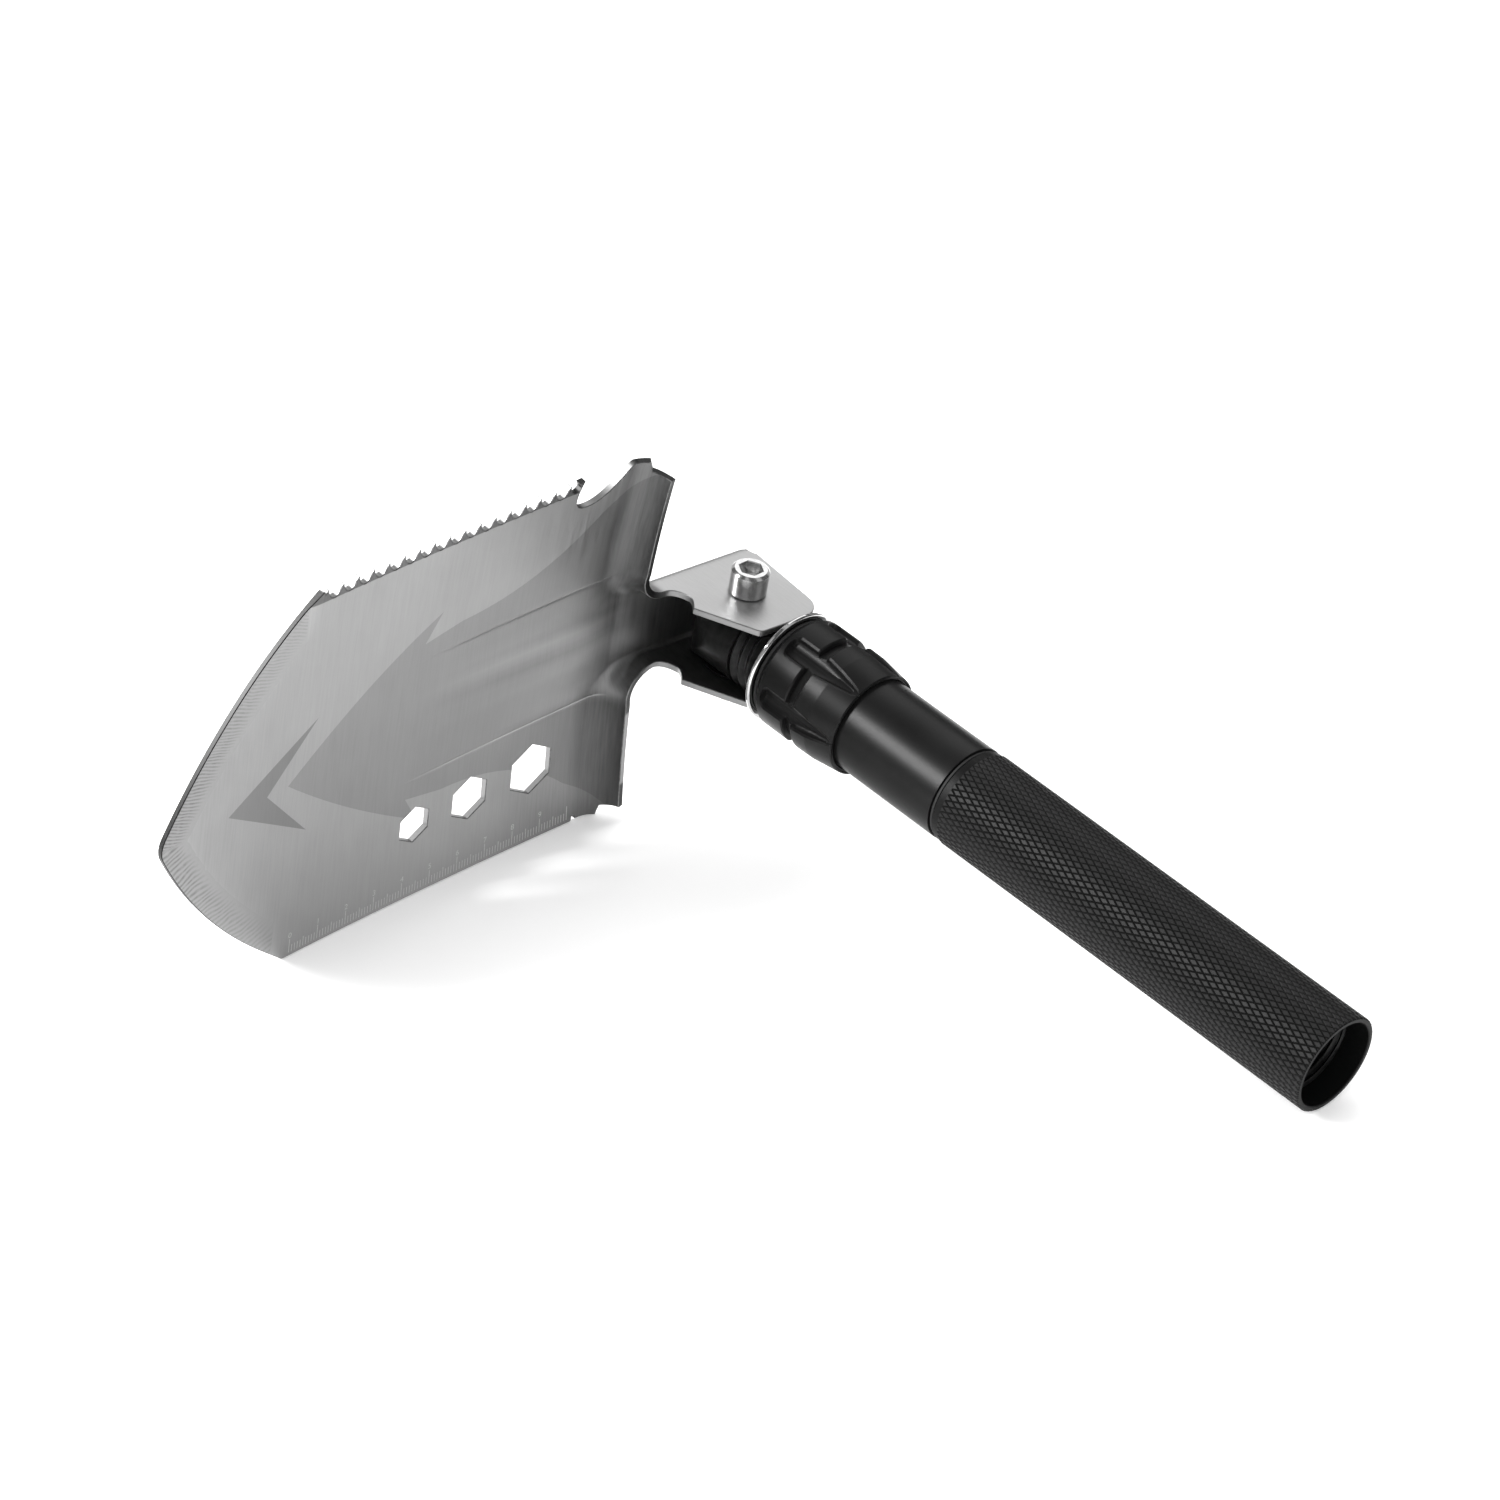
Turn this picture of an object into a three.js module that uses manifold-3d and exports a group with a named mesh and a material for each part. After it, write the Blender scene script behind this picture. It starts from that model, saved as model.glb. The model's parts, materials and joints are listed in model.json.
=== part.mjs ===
// A folding camp shovel: a pressed steel blade with a saw, a bottle-opener hook, a ruler edge and three
// spanner holes, hinged on a short tubular handle and clamped by a screwed collar.
//
// Everything is drawn in the handle's frame, in millimetres: +X runs along the handle from the hinge pin to
// the open end of the grip, +Z is the hinge pin, and the blade's tip points to -Y. At the end the whole
// shovel is tipped about Y so that the blade's ruler edge and the grip's end both stand on the ground.
import * as THREE from 'three';
import { mergeVertices } from 'three/addons/utils/BufferGeometryUtils.js';
import Module from 'manifold-3d';

const wasm = await Module();
wasm.setup();

// ---- driving dimensions ----------------------------------------------------------------------------
const GAP = 0.3;             // clearance between pieces that sit on or in each other
const ROUND = 36;            // sides of a round piece about the handle
const PIN_ROUND = 24;        // sides of a round piece about the hinge pin
const SMALL_ROUND = 16;      // sides of the grub screw and its holes

// blade, where "out" is the distance from the hinge pin towards the tip
const SHEET = 2;
const HALF_WIDTH = 60;
const SIDE_START = 39;       // the straight sides run from here
const SIDE_END = 143;        // to here
const TIP_OUT = 192.4;
const TIP_EDGE_BULGE = 4.4;  // how far each tip edge bows outside its chord
const NECK_OUT = 30;         // the blade is flat across from here to the ears
const NECK_X = -18.8;        // the front face there
const TIP_LIFT = 6.8;        // how far the tip curls forward of that
const CURL_POWER = 2.4;
const DISH = 3.5;            // how far the sides stand forward of the middle at the shoulders
const DISH_END = 165;        // the dish has run out here
const CREASE = 20;           // half the width of the pressed middle panel
const RIDGE = 0.9;           // crown of the middle panel
const CROWN_START = 28;      // the crown rises from here
const CROWN_RISE = 17;       // over this length,
const CROWN_END = 115;       // and is gone here
const CROWN_FALL = 75;       // after falling over this length
const STEP_OUT = 38;         // the foot step starts to turn up here
const STEP_END = 27.5;       // and ends here
const STEP_RADIUS = 10.7;
const STEP_TURN = 0.985;     // sine of the angle that it turns through
const NECK_FILLET = 9;
const NECK_WALL_START = 8;   // the step's wall runs on round the neck; it starts this far from the middle
const NECK_WALL_RISE = 5;    // and has risen over this width
const NECK_WALL = 0.72;      // to this part of its height at the foot,
const FOOT_RISE = 30;        // which it reaches over this width

// saw and hook, along the upper side
const TEETH = 17;
const TOOTH_PITCH = 5.2;
const TOOTH_DEPTH = 3.2;
const FIRST_TOOTH = 141.3;
const TOOTH = [[0.9, -1], [0, 0], [-1.1, -TOOTH_DEPTH], [-3.7, -TOOTH_DEPTH]]; // [out, z] from its tip
const HOOK_DEPTH = 9.7;
const HOOK_TIP = FIRST_TOOTH - TEETH * TOOTH_PITCH + 1.9;
const HOOK_POINT = [[0.4, 0], [-1.6, 0], [-0.3, -5.4]]; // [out, z] from its tip
const HOOK_THROAT = 50;      // the hook is deepest here
const HOOK_MOUTH = 36;       // and ends at the shoulder here
const HOOK_CONTROL = [44, -HOOK_DEPTH - 0.3];

// shoulders, [out, z] from the side's line
const SHOULDER = [[31.2, -0.5], [30.3, -3.6], [26, -5.3], [10, -5.3]];
const RULER_NOTCH = [[37.4, -0.3], [37.6, -1.6], [38.6, -1.6], [SIDE_START, 0]];

// spanner holes: distance out and size across flats
const SPANNER_HOLES = [[55.5, 14], [78, 12], [98, 10]];
const SPANNER_Z = -36;

// ears, in their own frame, which is turned from the handle's by EAR_SKEW
const EAR_SKEW = THREE.MathUtils.degToRad(5.3);
const EAR_HALF = 13;         // outside of each ear, from the handle's centre
const EAR_BACK = -18;        // back of the web that joins the ears
const EAR_FLAT = 16.4;       // flat that the pressure ring clamps
const EAR_END = -13.6;
const EAR_CORNER = 6.2;
const BEND = 3;              // outside radius of the bends
const WEB_CORNER = 1.2;      // chamfer between the web and each ear's end
const EAR_FOOT = 22;         // the web runs out to here, [out, x] of the ear's front from there up:
const EAR_FOOT_X = -15.6;
const EAR_CURVE = [19.2, -15, 17.7, -11.4];
const EAR_FRONT = [[15.6, -5.6], [15.7, -3.6], [18, -0.7], [8.8, 15.2], [7, EAR_FLAT]];

// hinge
const BOLT_R = 3;
const HEAD_R = 5.3;
const HEAD_H = 7.4;
const HEAD_CHAMFER = 0.6;
const BOLT_REACH = 9;        // how far the screw runs past the lower ear
const SOCKET_FLATS = 5.8;
const SOCKET_DEPTH = 4;
const BUSH_R = 4;
const TONGUE_HALF = 9.8;     // half height of the tongue between the ears
const FRICTION_T = 0.6;
const NUT_FLATS = 10;
const NUT_H = 5;
const NYLON_H = 1.6;
const NYLON_R = 4.2;
const WASHER_T = 1.2;
const WASHER_R = 6;
const FRICTION_R = 9;

// handle, positions along X
const THREAD_R = 12.5;
const TONGUE_END = 19.2;     // the tongue's flats end where the thread becomes fully round
const RING_FRONT = 19.2;
const RING_T = 1.3;
const RING_R = 16.6;
const SLIP_R = 15;
const COLLAR_FRONT = 22.1;
const COLLAR_END = 51;
const COLLAR_R = 16.5;
const COLLAR_REAR_R = 15.3;
const COLLAR_BORE = 14.3;
const GROOVE_X = 33.2;
const GROOVE_W = 3;
const GROOVE_DEPTH = 1.25;
const COLLAR_CHAMFER = 1.2;
const TAPER_START = 42;
const FLUTES = 6;
const FLUTE_R = 3.6;         // the cutter at the collar's front,
const FLUTE_REAR_R = 2.2;    // and at its rear
const FLUTE_LENGTH = 34;
const FLUTE_BACK = 3;        // the cutter's middle lies this far in front of the collar's
const FLUTE_OUT = 1.5;       // and this far outside its surface
const NUT_SLEEVE_START = COLLAR_FRONT + 0.4;
const NUT_SLEEVE_END = 37.6;
const WIPER_SEAT = 2.4;      // the recess at the collar's rear: its length and depth
const WIPER_SEAT_DEPTH = 0.7;
const TUBE_START = 44.8;
const TUBE_R = 13.9;
const JOINT_X = 86.3;        // seam between the neck tube and the grip
const SEAL_T = 0.8;
const SEAL_INSET = 0.5;
const GRIP_START = JOINT_X + SEAL_T + GAP;
const LIP = 2;               // plain lip in front of the knurl
const GRIP_R = 14.1;
const GRIP_END = 217;
const TUBE_BORE = 12.5;
const STUB_END = 70;
const SPIGOT_END = 112;
const GRUB_X = 60;
const GRUB_R = 2;
const GRUB_L = 4.6;
const GRUB_MIDDLE = -10.7;
const SLEEVE_BORE = 11;      // threaded sleeve inside the grip's open end
const SLEEVE_FROM = 19;      // measured from the grip's end
const SLEEVE_TO = 7;

// the ground touches the ruler edge and the lower side of the grip's end
const RIM_X = -15.3;
const LEAN = Math.atan((HALF_WIDTH - GRIP_R) / (GRIP_END - RIM_X));

// ---- materials ---------------------------------------------------------------------------------------
function paint(color, roughness, metalness) {
  return new THREE.MeshStandardMaterial({ color, roughness, metalness });
}
const steel = paint(0x9a9c9e, 0.38, 1);
const chrome = paint(0xd8dadc, 0.12, 1);
const zinc = paint(0xb4b7b9, 0.35, 1);
const blackAnodised = paint(0x1b1b1c, 0.42, 0.7);
const blackKnurl = paint(0x161617, 0.5, 0.6);
const darkSteel = paint(0x242425, 0.45, 0.8);
const bronze = paint(0x9c7b45, 0.4, 1);
const rubber = paint(0x111111, 0.8, 0);
const nylon = paint(0xe4e2da, 0.6, 0);

// ---- solids --------------------------------------------------------------------------------------------
function solid(geometry) {
  const bare = geometry.clone();
  bare.deleteAttribute('normal');
  bare.deleteAttribute('uv');
  const merged = mergeVertices(bare, 1e-4);
  const vertProperties = Float32Array.from(merged.attributes.position.array);
  const triVerts = Uint32Array.from(merged.index.array);
  return new wasm.Manifold(new wasm.Mesh({ numProp: 3, vertProperties, triVerts }));
}

function geometryOf(manifold) {
  const mesh = manifold.getMesh();
  const geometry = new THREE.BufferGeometry();
  geometry.setAttribute('position', new THREE.BufferAttribute(mesh.vertProperties, 3));
  geometry.setIndex(new THREE.BufferAttribute(mesh.triVerts, 1));
  geometry.computeVertexNormals();
  return geometry;
}

// A shape drawn in the plane of two unit axes, extruded along their cross product.
function prism(shape, axis1, axis2, start, length, curveSegments = 6) {
  const geometry = new THREE.ExtrudeGeometry(shape, { depth: length, bevelEnabled: false, curveSegments });
  const axis3 = axis1.clone().cross(axis2);
  geometry.applyMatrix4(new THREE.Matrix4().makeBasis(axis1, axis2, axis3));
  geometry.translate(...axis3.clone().multiplyScalar(start).toArray());
  return geometry;
}

const X = new THREE.Vector3(1, 0, 0);
const Y = new THREE.Vector3(0, 1, 0);
const Z = new THREE.Vector3(0, 0, 1);
const OUT = new THREE.Vector3(0, -1, 0);

// A ring or disc turned about the handle's axis: [radius, x] pairs of its closed section.
function turnedX(section, sides = ROUND) {
  const points = [...section, section[0]].map(([r, x]) => new THREE.Vector2(r, x));
  return new THREE.LatheGeometry(points, sides).rotateZ(-Math.PI / 2);
}

// The same about the hinge pin.
function turnedZ(section, sides = PIN_ROUND) {
  const points = [...section, section[0]].map(([r, z]) => new THREE.Vector2(r, z));
  return new THREE.LatheGeometry(points, sides).rotateX(Math.PI / 2);
}

// A plain tube between two places, about the handle or the pin; inner 0 makes a disc.
const tubeSection = (inner, outer, from, to) => [[inner, from], [outer, from], [outer, to], [inner, to]];

function pinBar(radius, from, to) {
  const bar = new THREE.CylinderGeometry(radius, radius, to - from, PIN_ROUND);
  return bar.rotateX(Math.PI / 2).translate(0, 0, (from + to) / 2);
}

function axleBar(radius, from, to) {
  const bar = new THREE.CylinderGeometry(radius, radius, to - from, ROUND);
  return bar.rotateZ(Math.PI / 2).translate((from + to) / 2, 0, 0);
}

// A bar across the handle at the grub screw.
function grubBar(radius, length, middle) {
  const bar = new THREE.CylinderGeometry(radius, radius, length, SMALL_ROUND);
  return bar.rotateX(Math.PI / 2).translate(GRUB_X, 0, middle);
}

function hexagon(target, x, y, flats, turn) {
  const corner = flats / Math.sqrt(3);
  for (let i = 0; i <= 6; i++) {
    const a = turn + (i * Math.PI) / 3;
    const method = i === 0 ? 'moveTo' : 'lineTo';
    target[method](x + corner * Math.cos(a), y + corner * Math.sin(a));
  }
  return target;
}

const smooth = (t) => {
  const c = THREE.MathUtils.clamp(t, 0, 1);
  return c * c * (3 - 2 * c);
};

// ---- blade ----------------------------------------------------------------------------------------------
// X of the blade's front face at a distance out from the pin and a height z.
function faceX(out, z) {
  const slope = Math.tan(EAR_SKEW);
  const along = out < NECK_OUT
    ? NECK_X + slope * (NECK_OUT - out)
    : NECK_X + TIP_LIFT * ((out - NECK_OUT) / (TIP_OUT - NECK_OUT)) ** CURL_POWER;
  const fade = THREE.MathUtils.clamp((DISH_END - out) / (DISH_END - SIDE_START), 0, 1.1);
  const side = Math.max(0, (Math.abs(z) - CREASE) / (HALF_WIDTH - CREASE));
  const dish = DISH * fade * (side + side * side) / 2;
  const crown = smooth((out - CROWN_START) / CROWN_RISE) * smooth((CROWN_END - out) / CROWN_FALL);
  const ridge = RIDGE * crown * Math.max(0, 1 - (z / CREASE) ** 2);
  const turn = THREE.MathUtils.clamp((STEP_OUT - out) / STEP_RADIUS, 0, STEP_TURN);
  const rolled = STEP_RADIUS * (1 - Math.sqrt(1 - turn * turn));
  const foot = NECK_WALL + (1 - NECK_WALL) * smooth((Math.abs(z) - EAR_HALF) / FOOT_RISE);
  const wall = foot * smooth((Math.abs(z) - NECK_WALL_START) / NECK_WALL_RISE);
  return along + dish + ridge + rolled * wall;
}

// Where the sheet ends towards the handle: the step's free edge, filleted into the neck.
function sheetEnd(z) {
  const inFillet = EAR_HALF + NECK_FILLET - Math.abs(z);
  if (inFillet <= 0) return STEP_END;
  const drop = Math.min(inFillet, NECK_FILLET);
  return STEP_END - NECK_FILLET + Math.sqrt(NECK_FILLET ** 2 - drop ** 2);
}

// The dished sheet before it is trimmed: front and back grids joined round their border.
function bladeSheet() {
  const margin = 2.5;
  const columns = 26;
  const stepRows = 6;
  const rows = 20;
  const crowding = 1.6;
  const h = 0.05;
  const front = [];
  const back = [];
  for (let j = 0; j <= columns; j++) {
    const z = (HALF_WIDTH + margin) * (2 * j / columns - 1);
    const end = sheetEnd(z);
    for (let i = 0; i <= stepRows + rows; i++) {
      const near = 1 - (1 - i / stepRows) ** crowding;
      const out = i < stepRows
        ? end + (STEP_OUT - end) * near
        : STEP_OUT + (TIP_OUT + margin - STEP_OUT) * (i - stepRows) / rows;
      const slopeOut = (faceX(out + h, z) - faceX(out - h, z)) / (2 * h);
      const slopeZ = (faceX(out, z + h) - faceX(out, z - h)) / (2 * h);
      const point = new THREE.Vector3(faceX(out, z), -out, z);
      const normal = new THREE.Vector3(1, slopeOut, -slopeZ).normalize();
      front.push(point);
      back.push(point.clone().addScaledVector(normal, -SHEET));
    }
  }
  const stride = stepRows + rows + 1;
  const count = front.length;
  const index = [];
  const quad = (a, b, c, d) => index.push(a, b, c, a, c, d);
  for (let j = 0; j < columns; j++) {
    for (let i = 0; i < stride - 1; i++) {
      const a = j * stride + i;
      quad(a, a + stride, a + stride + 1, a + 1);
      quad(count + a, count + a + 1, count + a + stride + 1, count + a + stride);
    }
    const root = j * stride;
    const tip = root + stride - 1;
    quad(root, count + root, count + root + stride, root + stride);
    quad(tip, tip + stride, count + tip + stride, count + tip);
  }
  for (let i = 0; i < stride - 1; i++) {
    const low = i;
    const high = columns * stride + i;
    quad(low, low + 1, count + low + 1, count + low);
    quad(high, count + high, count + high + 1, high + 1);
  }
  const geometry = new THREE.BufferGeometry().setFromPoints([...front, ...back]);
  geometry.setIndex(index);
  return geometry;
}

// One tip edge as an arc from a corner of the side to the tip.
function tipEdge(shape, fromZ, toZ) {
  const run = TIP_OUT - SIDE_END;
  const chord = Math.hypot(run, HALF_WIDTH);
  const outward = fromZ + toZ > 0 ? 1 : -1;
  const midOut = SIDE_END + run / 2 + 2 * TIP_EDGE_BULGE * HALF_WIDTH / chord;
  const midZ = outward * (HALF_WIDTH / 2 + 2 * TIP_EDGE_BULGE * run / chord);
  const endOut = toZ === 0 ? TIP_OUT : SIDE_END;
  shape.quadraticCurveTo(midOut, midZ, endOut, toZ);
}

// The blade's outline seen along the handle, (out, z), with its spanner holes.
function bladeOutline() {
  const shape = new THREE.Shape();
  const side = HALF_WIDTH;
  shape.moveTo(SIDE_END, -side);
  tipEdge(shape, -side, 0);
  tipEdge(shape, 0, side);
  for (let i = 0; i < TEETH; i++) {
    const tip = FIRST_TOOTH - i * TOOTH_PITCH;
    for (const [out, z] of TOOTH) {
      shape.lineTo(tip + out, side + z);
    }
  }
  for (const [out, z] of HOOK_POINT) {
    shape.lineTo(HOOK_TIP + out, side + z);
  }
  shape.quadraticCurveTo(HOOK_TIP + 0.1, side - HOOK_DEPTH, HOOK_THROAT, side - HOOK_DEPTH);
  shape.quadraticCurveTo(HOOK_CONTROL[0], side + HOOK_CONTROL[1], HOOK_MOUTH, side - 0.4);
  for (const [out, z] of SHOULDER) {
    shape.lineTo(out, side + z);
  }
  for (const [out, z] of SHOULDER.toReversed()) {
    shape.lineTo(out, -side - z);
  }
  for (const [out, z] of RULER_NOTCH) {
    shape.lineTo(out, -side - z);
  }
  shape.closePath();
  for (const [out, flats] of SPANNER_HOLES) {
    shape.holes.push(hexagon(new THREE.Path(), out, SPANNER_Z, flats, Math.PI / 2));
  }
  return shape;
}

// Side view of web and ears in the ears' frame: (out, x).
function earOutline() {
  const shape = new THREE.Shape();
  const cornerOut = EAR_END + EAR_CORNER;
  const cornerX = EAR_FLAT - EAR_CORNER;
  const below = EAR_BACK - 1;
  const webFront = EAR_BACK + SHEET;
  shape.moveTo(EAR_END + WEB_CORNER, below);
  shape.lineTo(EAR_FOOT, below);
  shape.lineTo(EAR_FOOT, EAR_FOOT_X);
  shape.quadraticCurveTo(...EAR_CURVE);
  for (const [out, x] of EAR_FRONT) {
    shape.lineTo(out, x);
  }
  shape.lineTo(cornerOut, EAR_FLAT);
  shape.absarc(cornerOut, cornerX, EAR_CORNER, Math.PI / 2, Math.PI, false);
  shape.lineTo(EAR_END, webFront + 3.6);
  shape.lineTo(EAR_END + WEB_CORNER, webFront + 0.6);
  shape.closePath();
  return shape;
}

// The U-shaped channel that the ears are cut from: (z, x).
function channelSection() {
  const shape = new THREE.Shape();
  const inner = EAR_HALF - SHEET;
  const bendZ = EAR_HALF - BEND;
  const bendX = EAR_BACK + BEND;
  shape.moveTo(-EAR_HALF, EAR_FLAT + 1);
  shape.lineTo(-EAR_HALF, bendX);
  shape.absarc(-bendZ, bendX, BEND, Math.PI, 1.5 * Math.PI, false);
  shape.lineTo(bendZ, EAR_BACK);
  shape.absarc(bendZ, bendX, BEND, 1.5 * Math.PI, 2 * Math.PI, false);
  shape.lineTo(EAR_HALF, EAR_FLAT + 1);
  shape.lineTo(inner, EAR_FLAT + 1);
  shape.lineTo(inner, bendX);
  shape.absarc(bendZ, bendX, BEND - SHEET, 0, -Math.PI / 2, true);
  shape.lineTo(-bendZ, EAR_BACK + SHEET);
  shape.absarc(-bendZ, bendX, BEND - SHEET, -Math.PI / 2, -Math.PI, true);
  shape.lineTo(-inner, EAR_FLAT + 1);
  shape.closePath();
  return shape;
}

function blade() {
  const sheet = solid(bladeSheet());
  const trimmed = sheet.intersect(solid(prism(bladeOutline(), OUT, Z, -10, 30, 10)));
  const channel = solid(prism(channelSection(), Z, X, -23, 40, 4));
  const sideView = solid(prism(earOutline(), OUT, X, -20, 40, 6));
  const ears = channel.intersect(sideView).rotate([0, 0, -THREE.MathUtils.radToDeg(EAR_SKEW)]);
  const hole = solid(pinBar(BOLT_R + GAP, -20, 20));
  return geometryOf(trimmed.add(ears).subtract(hole));
}

// ---- hinge ------------------------------------------------------------------------------------------------
function hingeBolt() {
  const end = -EAR_HALF - BOLT_REACH;
  const seat = EAR_HALF + GAP;
  const top = seat + HEAD_H;
  const section = [
    [0, end],
    [BOLT_R, end],
    [BOLT_R, seat],
    [HEAD_R, seat],
    [HEAD_R, top - HEAD_CHAMFER],
    [HEAD_R - HEAD_CHAMFER, top],
    [0, top],
  ];
  const points = section.map(([r, z]) => new THREE.Vector2(r, z));
  const body = new THREE.LatheGeometry(points, PIN_ROUND).rotateX(Math.PI / 2);
  const outline = hexagon(new THREE.Shape(), 0, 0, SOCKET_FLATS, 0);
  const socket = prism(outline, X, Y, top - SOCKET_DEPTH, SOCKET_DEPTH + 1);
  return geometryOf(solid(body).subtract(solid(socket)));
}

function hingeNut(from, to) {
  const outline = hexagon(new THREE.Shape(), 0, 0, NUT_FLATS, 0);
  const body = prism(outline, X, Y, from, to - from);
  const hole = pinBar(BOLT_R + GAP, from - 1, to + 1);
  return geometryOf(solid(body).subtract(solid(hole)));
}

// The stub from the side, with a nose rounded about the pin: (x, y).
function stubOutline() {
  const shape = new THREE.Shape();
  const side = THREAD_R + 1;
  shape.moveTo(STUB_END + 1, -side);
  shape.lineTo(STUB_END + 1, side);
  shape.lineTo(0, side);
  shape.absarc(0, 0, THREAD_R + 0.01, Math.PI / 2, 1.5 * Math.PI, false);
  shape.lineTo(0, -side);
  shape.closePath();
  return shape;
}

function threadedStub() {
  const thread = solid(axleBar(THREAD_R, -THREAD_R, TUBE_START - 0.5));
  const shank = solid(axleBar(TUBE_BORE - GAP, TUBE_START - 1, STUB_END));
  const length = TONGUE_END + THREAD_R + 1;
  const slot = new THREE.BoxGeometry(length, 2.2 * THREAD_R, THREAD_R);
  slot.translate(TONGUE_END - length / 2, 0, TONGUE_HALF + THREAD_R / 2);
  const lowerSlot = slot.clone().translate(0, 0, -2 * TONGUE_HALF - THREAD_R);
  const nose = prism(stubOutline(), X, Y, -20, 40, 12);
  const bore = pinBar(BUSH_R + GAP, -20, 20);
  const grubHole = grubBar(GRUB_R + GAP, 9, -THREAD_R);
  const body = thread.add(shank).subtract(solid(slot)).subtract(solid(lowerSlot));
  return geometryOf(body.intersect(solid(nose)).subtract(solid(bore)).subtract(solid(grubHole)));
}

// ---- collar and handle ------------------------------------------------------------------------------------
function lockCollar() {
  const groove = GROOVE_X + GROOVE_W;
  const seat = COLLAR_BORE + WIPER_SEAT_DEPTH;
  const body = turnedX([
    [COLLAR_BORE, COLLAR_FRONT],
    [COLLAR_R - COLLAR_CHAMFER, COLLAR_FRONT],
    [COLLAR_R, COLLAR_FRONT + COLLAR_CHAMFER],
    [COLLAR_R, GROOVE_X],
    [COLLAR_R - GROOVE_DEPTH, GROOVE_X],
    [COLLAR_R - GROOVE_DEPTH, groove],
    [COLLAR_R, groove],
    [COLLAR_R - 0.1, TAPER_START],
    [COLLAR_REAR_R, COLLAR_END],
    [seat, COLLAR_END],
    [seat, COLLAR_END - WIPER_SEAT],
    [COLLAR_BORE, COLLAR_END - WIPER_SEAT],
  ], 48);
  let collar = solid(body);
  for (let i = 0; i < FLUTES; i++) {
    const cutter = new THREE.CylinderGeometry(FLUTE_REAR_R, FLUTE_R, FLUTE_LENGTH, 14);
    cutter.rotateZ(-Math.PI / 2);
    cutter.translate((COLLAR_FRONT + COLLAR_END) / 2 - FLUTE_BACK, 0, COLLAR_R + FLUTE_OUT);
    cutter.rotateX(((i + 0.5) * 2 * Math.PI) / FLUTES);
    collar = collar.subtract(solid(cutter));
  }
  return geometryOf(collar);
}

function neckTube() {
  const wall = solid(turnedX(tubeSection(TUBE_BORE, TUBE_R, TUBE_START, JOINT_X - GAP)));
  const hole = solid(grubBar(GRUB_R + GAP, 6, -TUBE_R));
  return geometryOf(wall.subtract(hole));
}

function gripTube() {
  const lip = TUBE_R - 0.1;
  return turnedX([
    [TUBE_BORE, GRIP_START],
    [lip, GRIP_START],
    [lip, GRIP_START + LIP],
    [GRIP_R, GRIP_START + LIP + 0.3],
    [GRIP_R, GRIP_END],
    [TUBE_BORE, GRIP_END],
  ]);
}

const shovel = new THREE.Group();
function piece(name, geometry, material) {
  const mesh = new THREE.Mesh(geometry, material);
  mesh.name = name;
  shovel.add(mesh);
}

// blade body
const pinBore = BOLT_R + GAP;
const washerTop = -EAR_HALF - GAP;
const nutTop = washerTop - WASHER_T - GAP;
const nutBottom = nutTop - NUT_H;
const nylonTop = nutBottom - GAP;
piece('blade', blade(), steel);
piece('hinge_bolt', hingeBolt(), chrome);
piece('nut_washer', turnedZ(tubeSection(pinBore, WASHER_R, washerTop - WASHER_T, washerTop)), zinc);
piece('hinge_nut', hingeNut(nutBottom, nutTop), zinc);
piece('nut_nylon_ring', turnedZ(tubeSection(pinBore, NYLON_R, nylonTop - NYLON_H, nylonTop)), nylon);
const frictionFrom = TONGUE_HALF + GAP;
const frictionTo = frictionFrom + FRICTION_T;
const upperWasher = tubeSection(pinBore, FRICTION_R, frictionFrom, frictionTo);
const lowerWasher = tubeSection(pinBore, FRICTION_R, -frictionTo, -frictionFrom);
piece('friction_washer_upper', turnedZ(upperWasher), darkSteel);
piece('friction_washer_lower', turnedZ(lowerWasher), darkSteel);

// handle body
const grub = grubBar(GRUB_R, GRUB_L, GRUB_MIDDLE);
const sealRim = TUBE_R - SEAL_INSET;
const sleeveSection = tubeSection(SLEEVE_BORE, TUBE_BORE - GAP, GRIP_END - SLEEVE_FROM, GRIP_END - SLEEVE_TO);
piece('threaded_stub', threadedStub(), darkSteel);
piece('hinge_bush', turnedZ(tubeSection(pinBore, BUSH_R, -TONGUE_HALF, TONGUE_HALF)), bronze);
piece('neck_tube', neckTube(), blackAnodised);
piece('neck_grub_screw', grub, darkSteel);
piece('coupling_spigot', axleBar(TUBE_BORE - GAP, STUB_END + 1, SPIGOT_END), darkSteel);
piece('coupling_seal', turnedX(tubeSection(TUBE_BORE, sealRim, JOINT_X, JOINT_X + SEAL_T)), rubber);
piece('grip_tube', gripTube(), blackKnurl);
piece('end_thread_sleeve', turnedX(sleeveSection), darkSteel);

// clamping ring and collar
const threadBore = THREAD_R + GAP;
const ringEnd = RING_FRONT + RING_T;
const nutSection = tubeSection(threadBore, COLLAR_BORE - GAP, NUT_SLEEVE_START, NUT_SLEEVE_END);
const wiperSection = tubeSection(TUBE_R + 0.2, COLLAR_BORE + 0.5, COLLAR_END - 2.1, COLLAR_END - 0.4);
piece('pressure_ring', turnedX(tubeSection(threadBore, RING_R, RING_FRONT, ringEnd)), chrome);
piece('slip_washer', turnedX(tubeSection(threadBore, SLIP_R, ringEnd + GAP, COLLAR_FRONT - GAP)), rubber);
piece('lock_collar', lockCollar(), blackAnodised);
piece('collar_nut_sleeve', turnedX(nutSection), darkSteel);
piece('collar_wiper_ring', turnedX(wiperSection), rubber);

// Tip the shovel onto its ruler edge and grip end, with the origin in the middle of its footprint.
shovel.rotation.y = LEAN;
const stand = new THREE.Group();
stand.add(shovel);
stand.updateMatrixWorld(true);
const box = new THREE.Box3().setFromObject(stand, true);
stand.position.set(-(box.min.x + box.max.x) / 2, -(box.min.y + box.max.y) / 2, -box.min.z);
export default stand;
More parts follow.
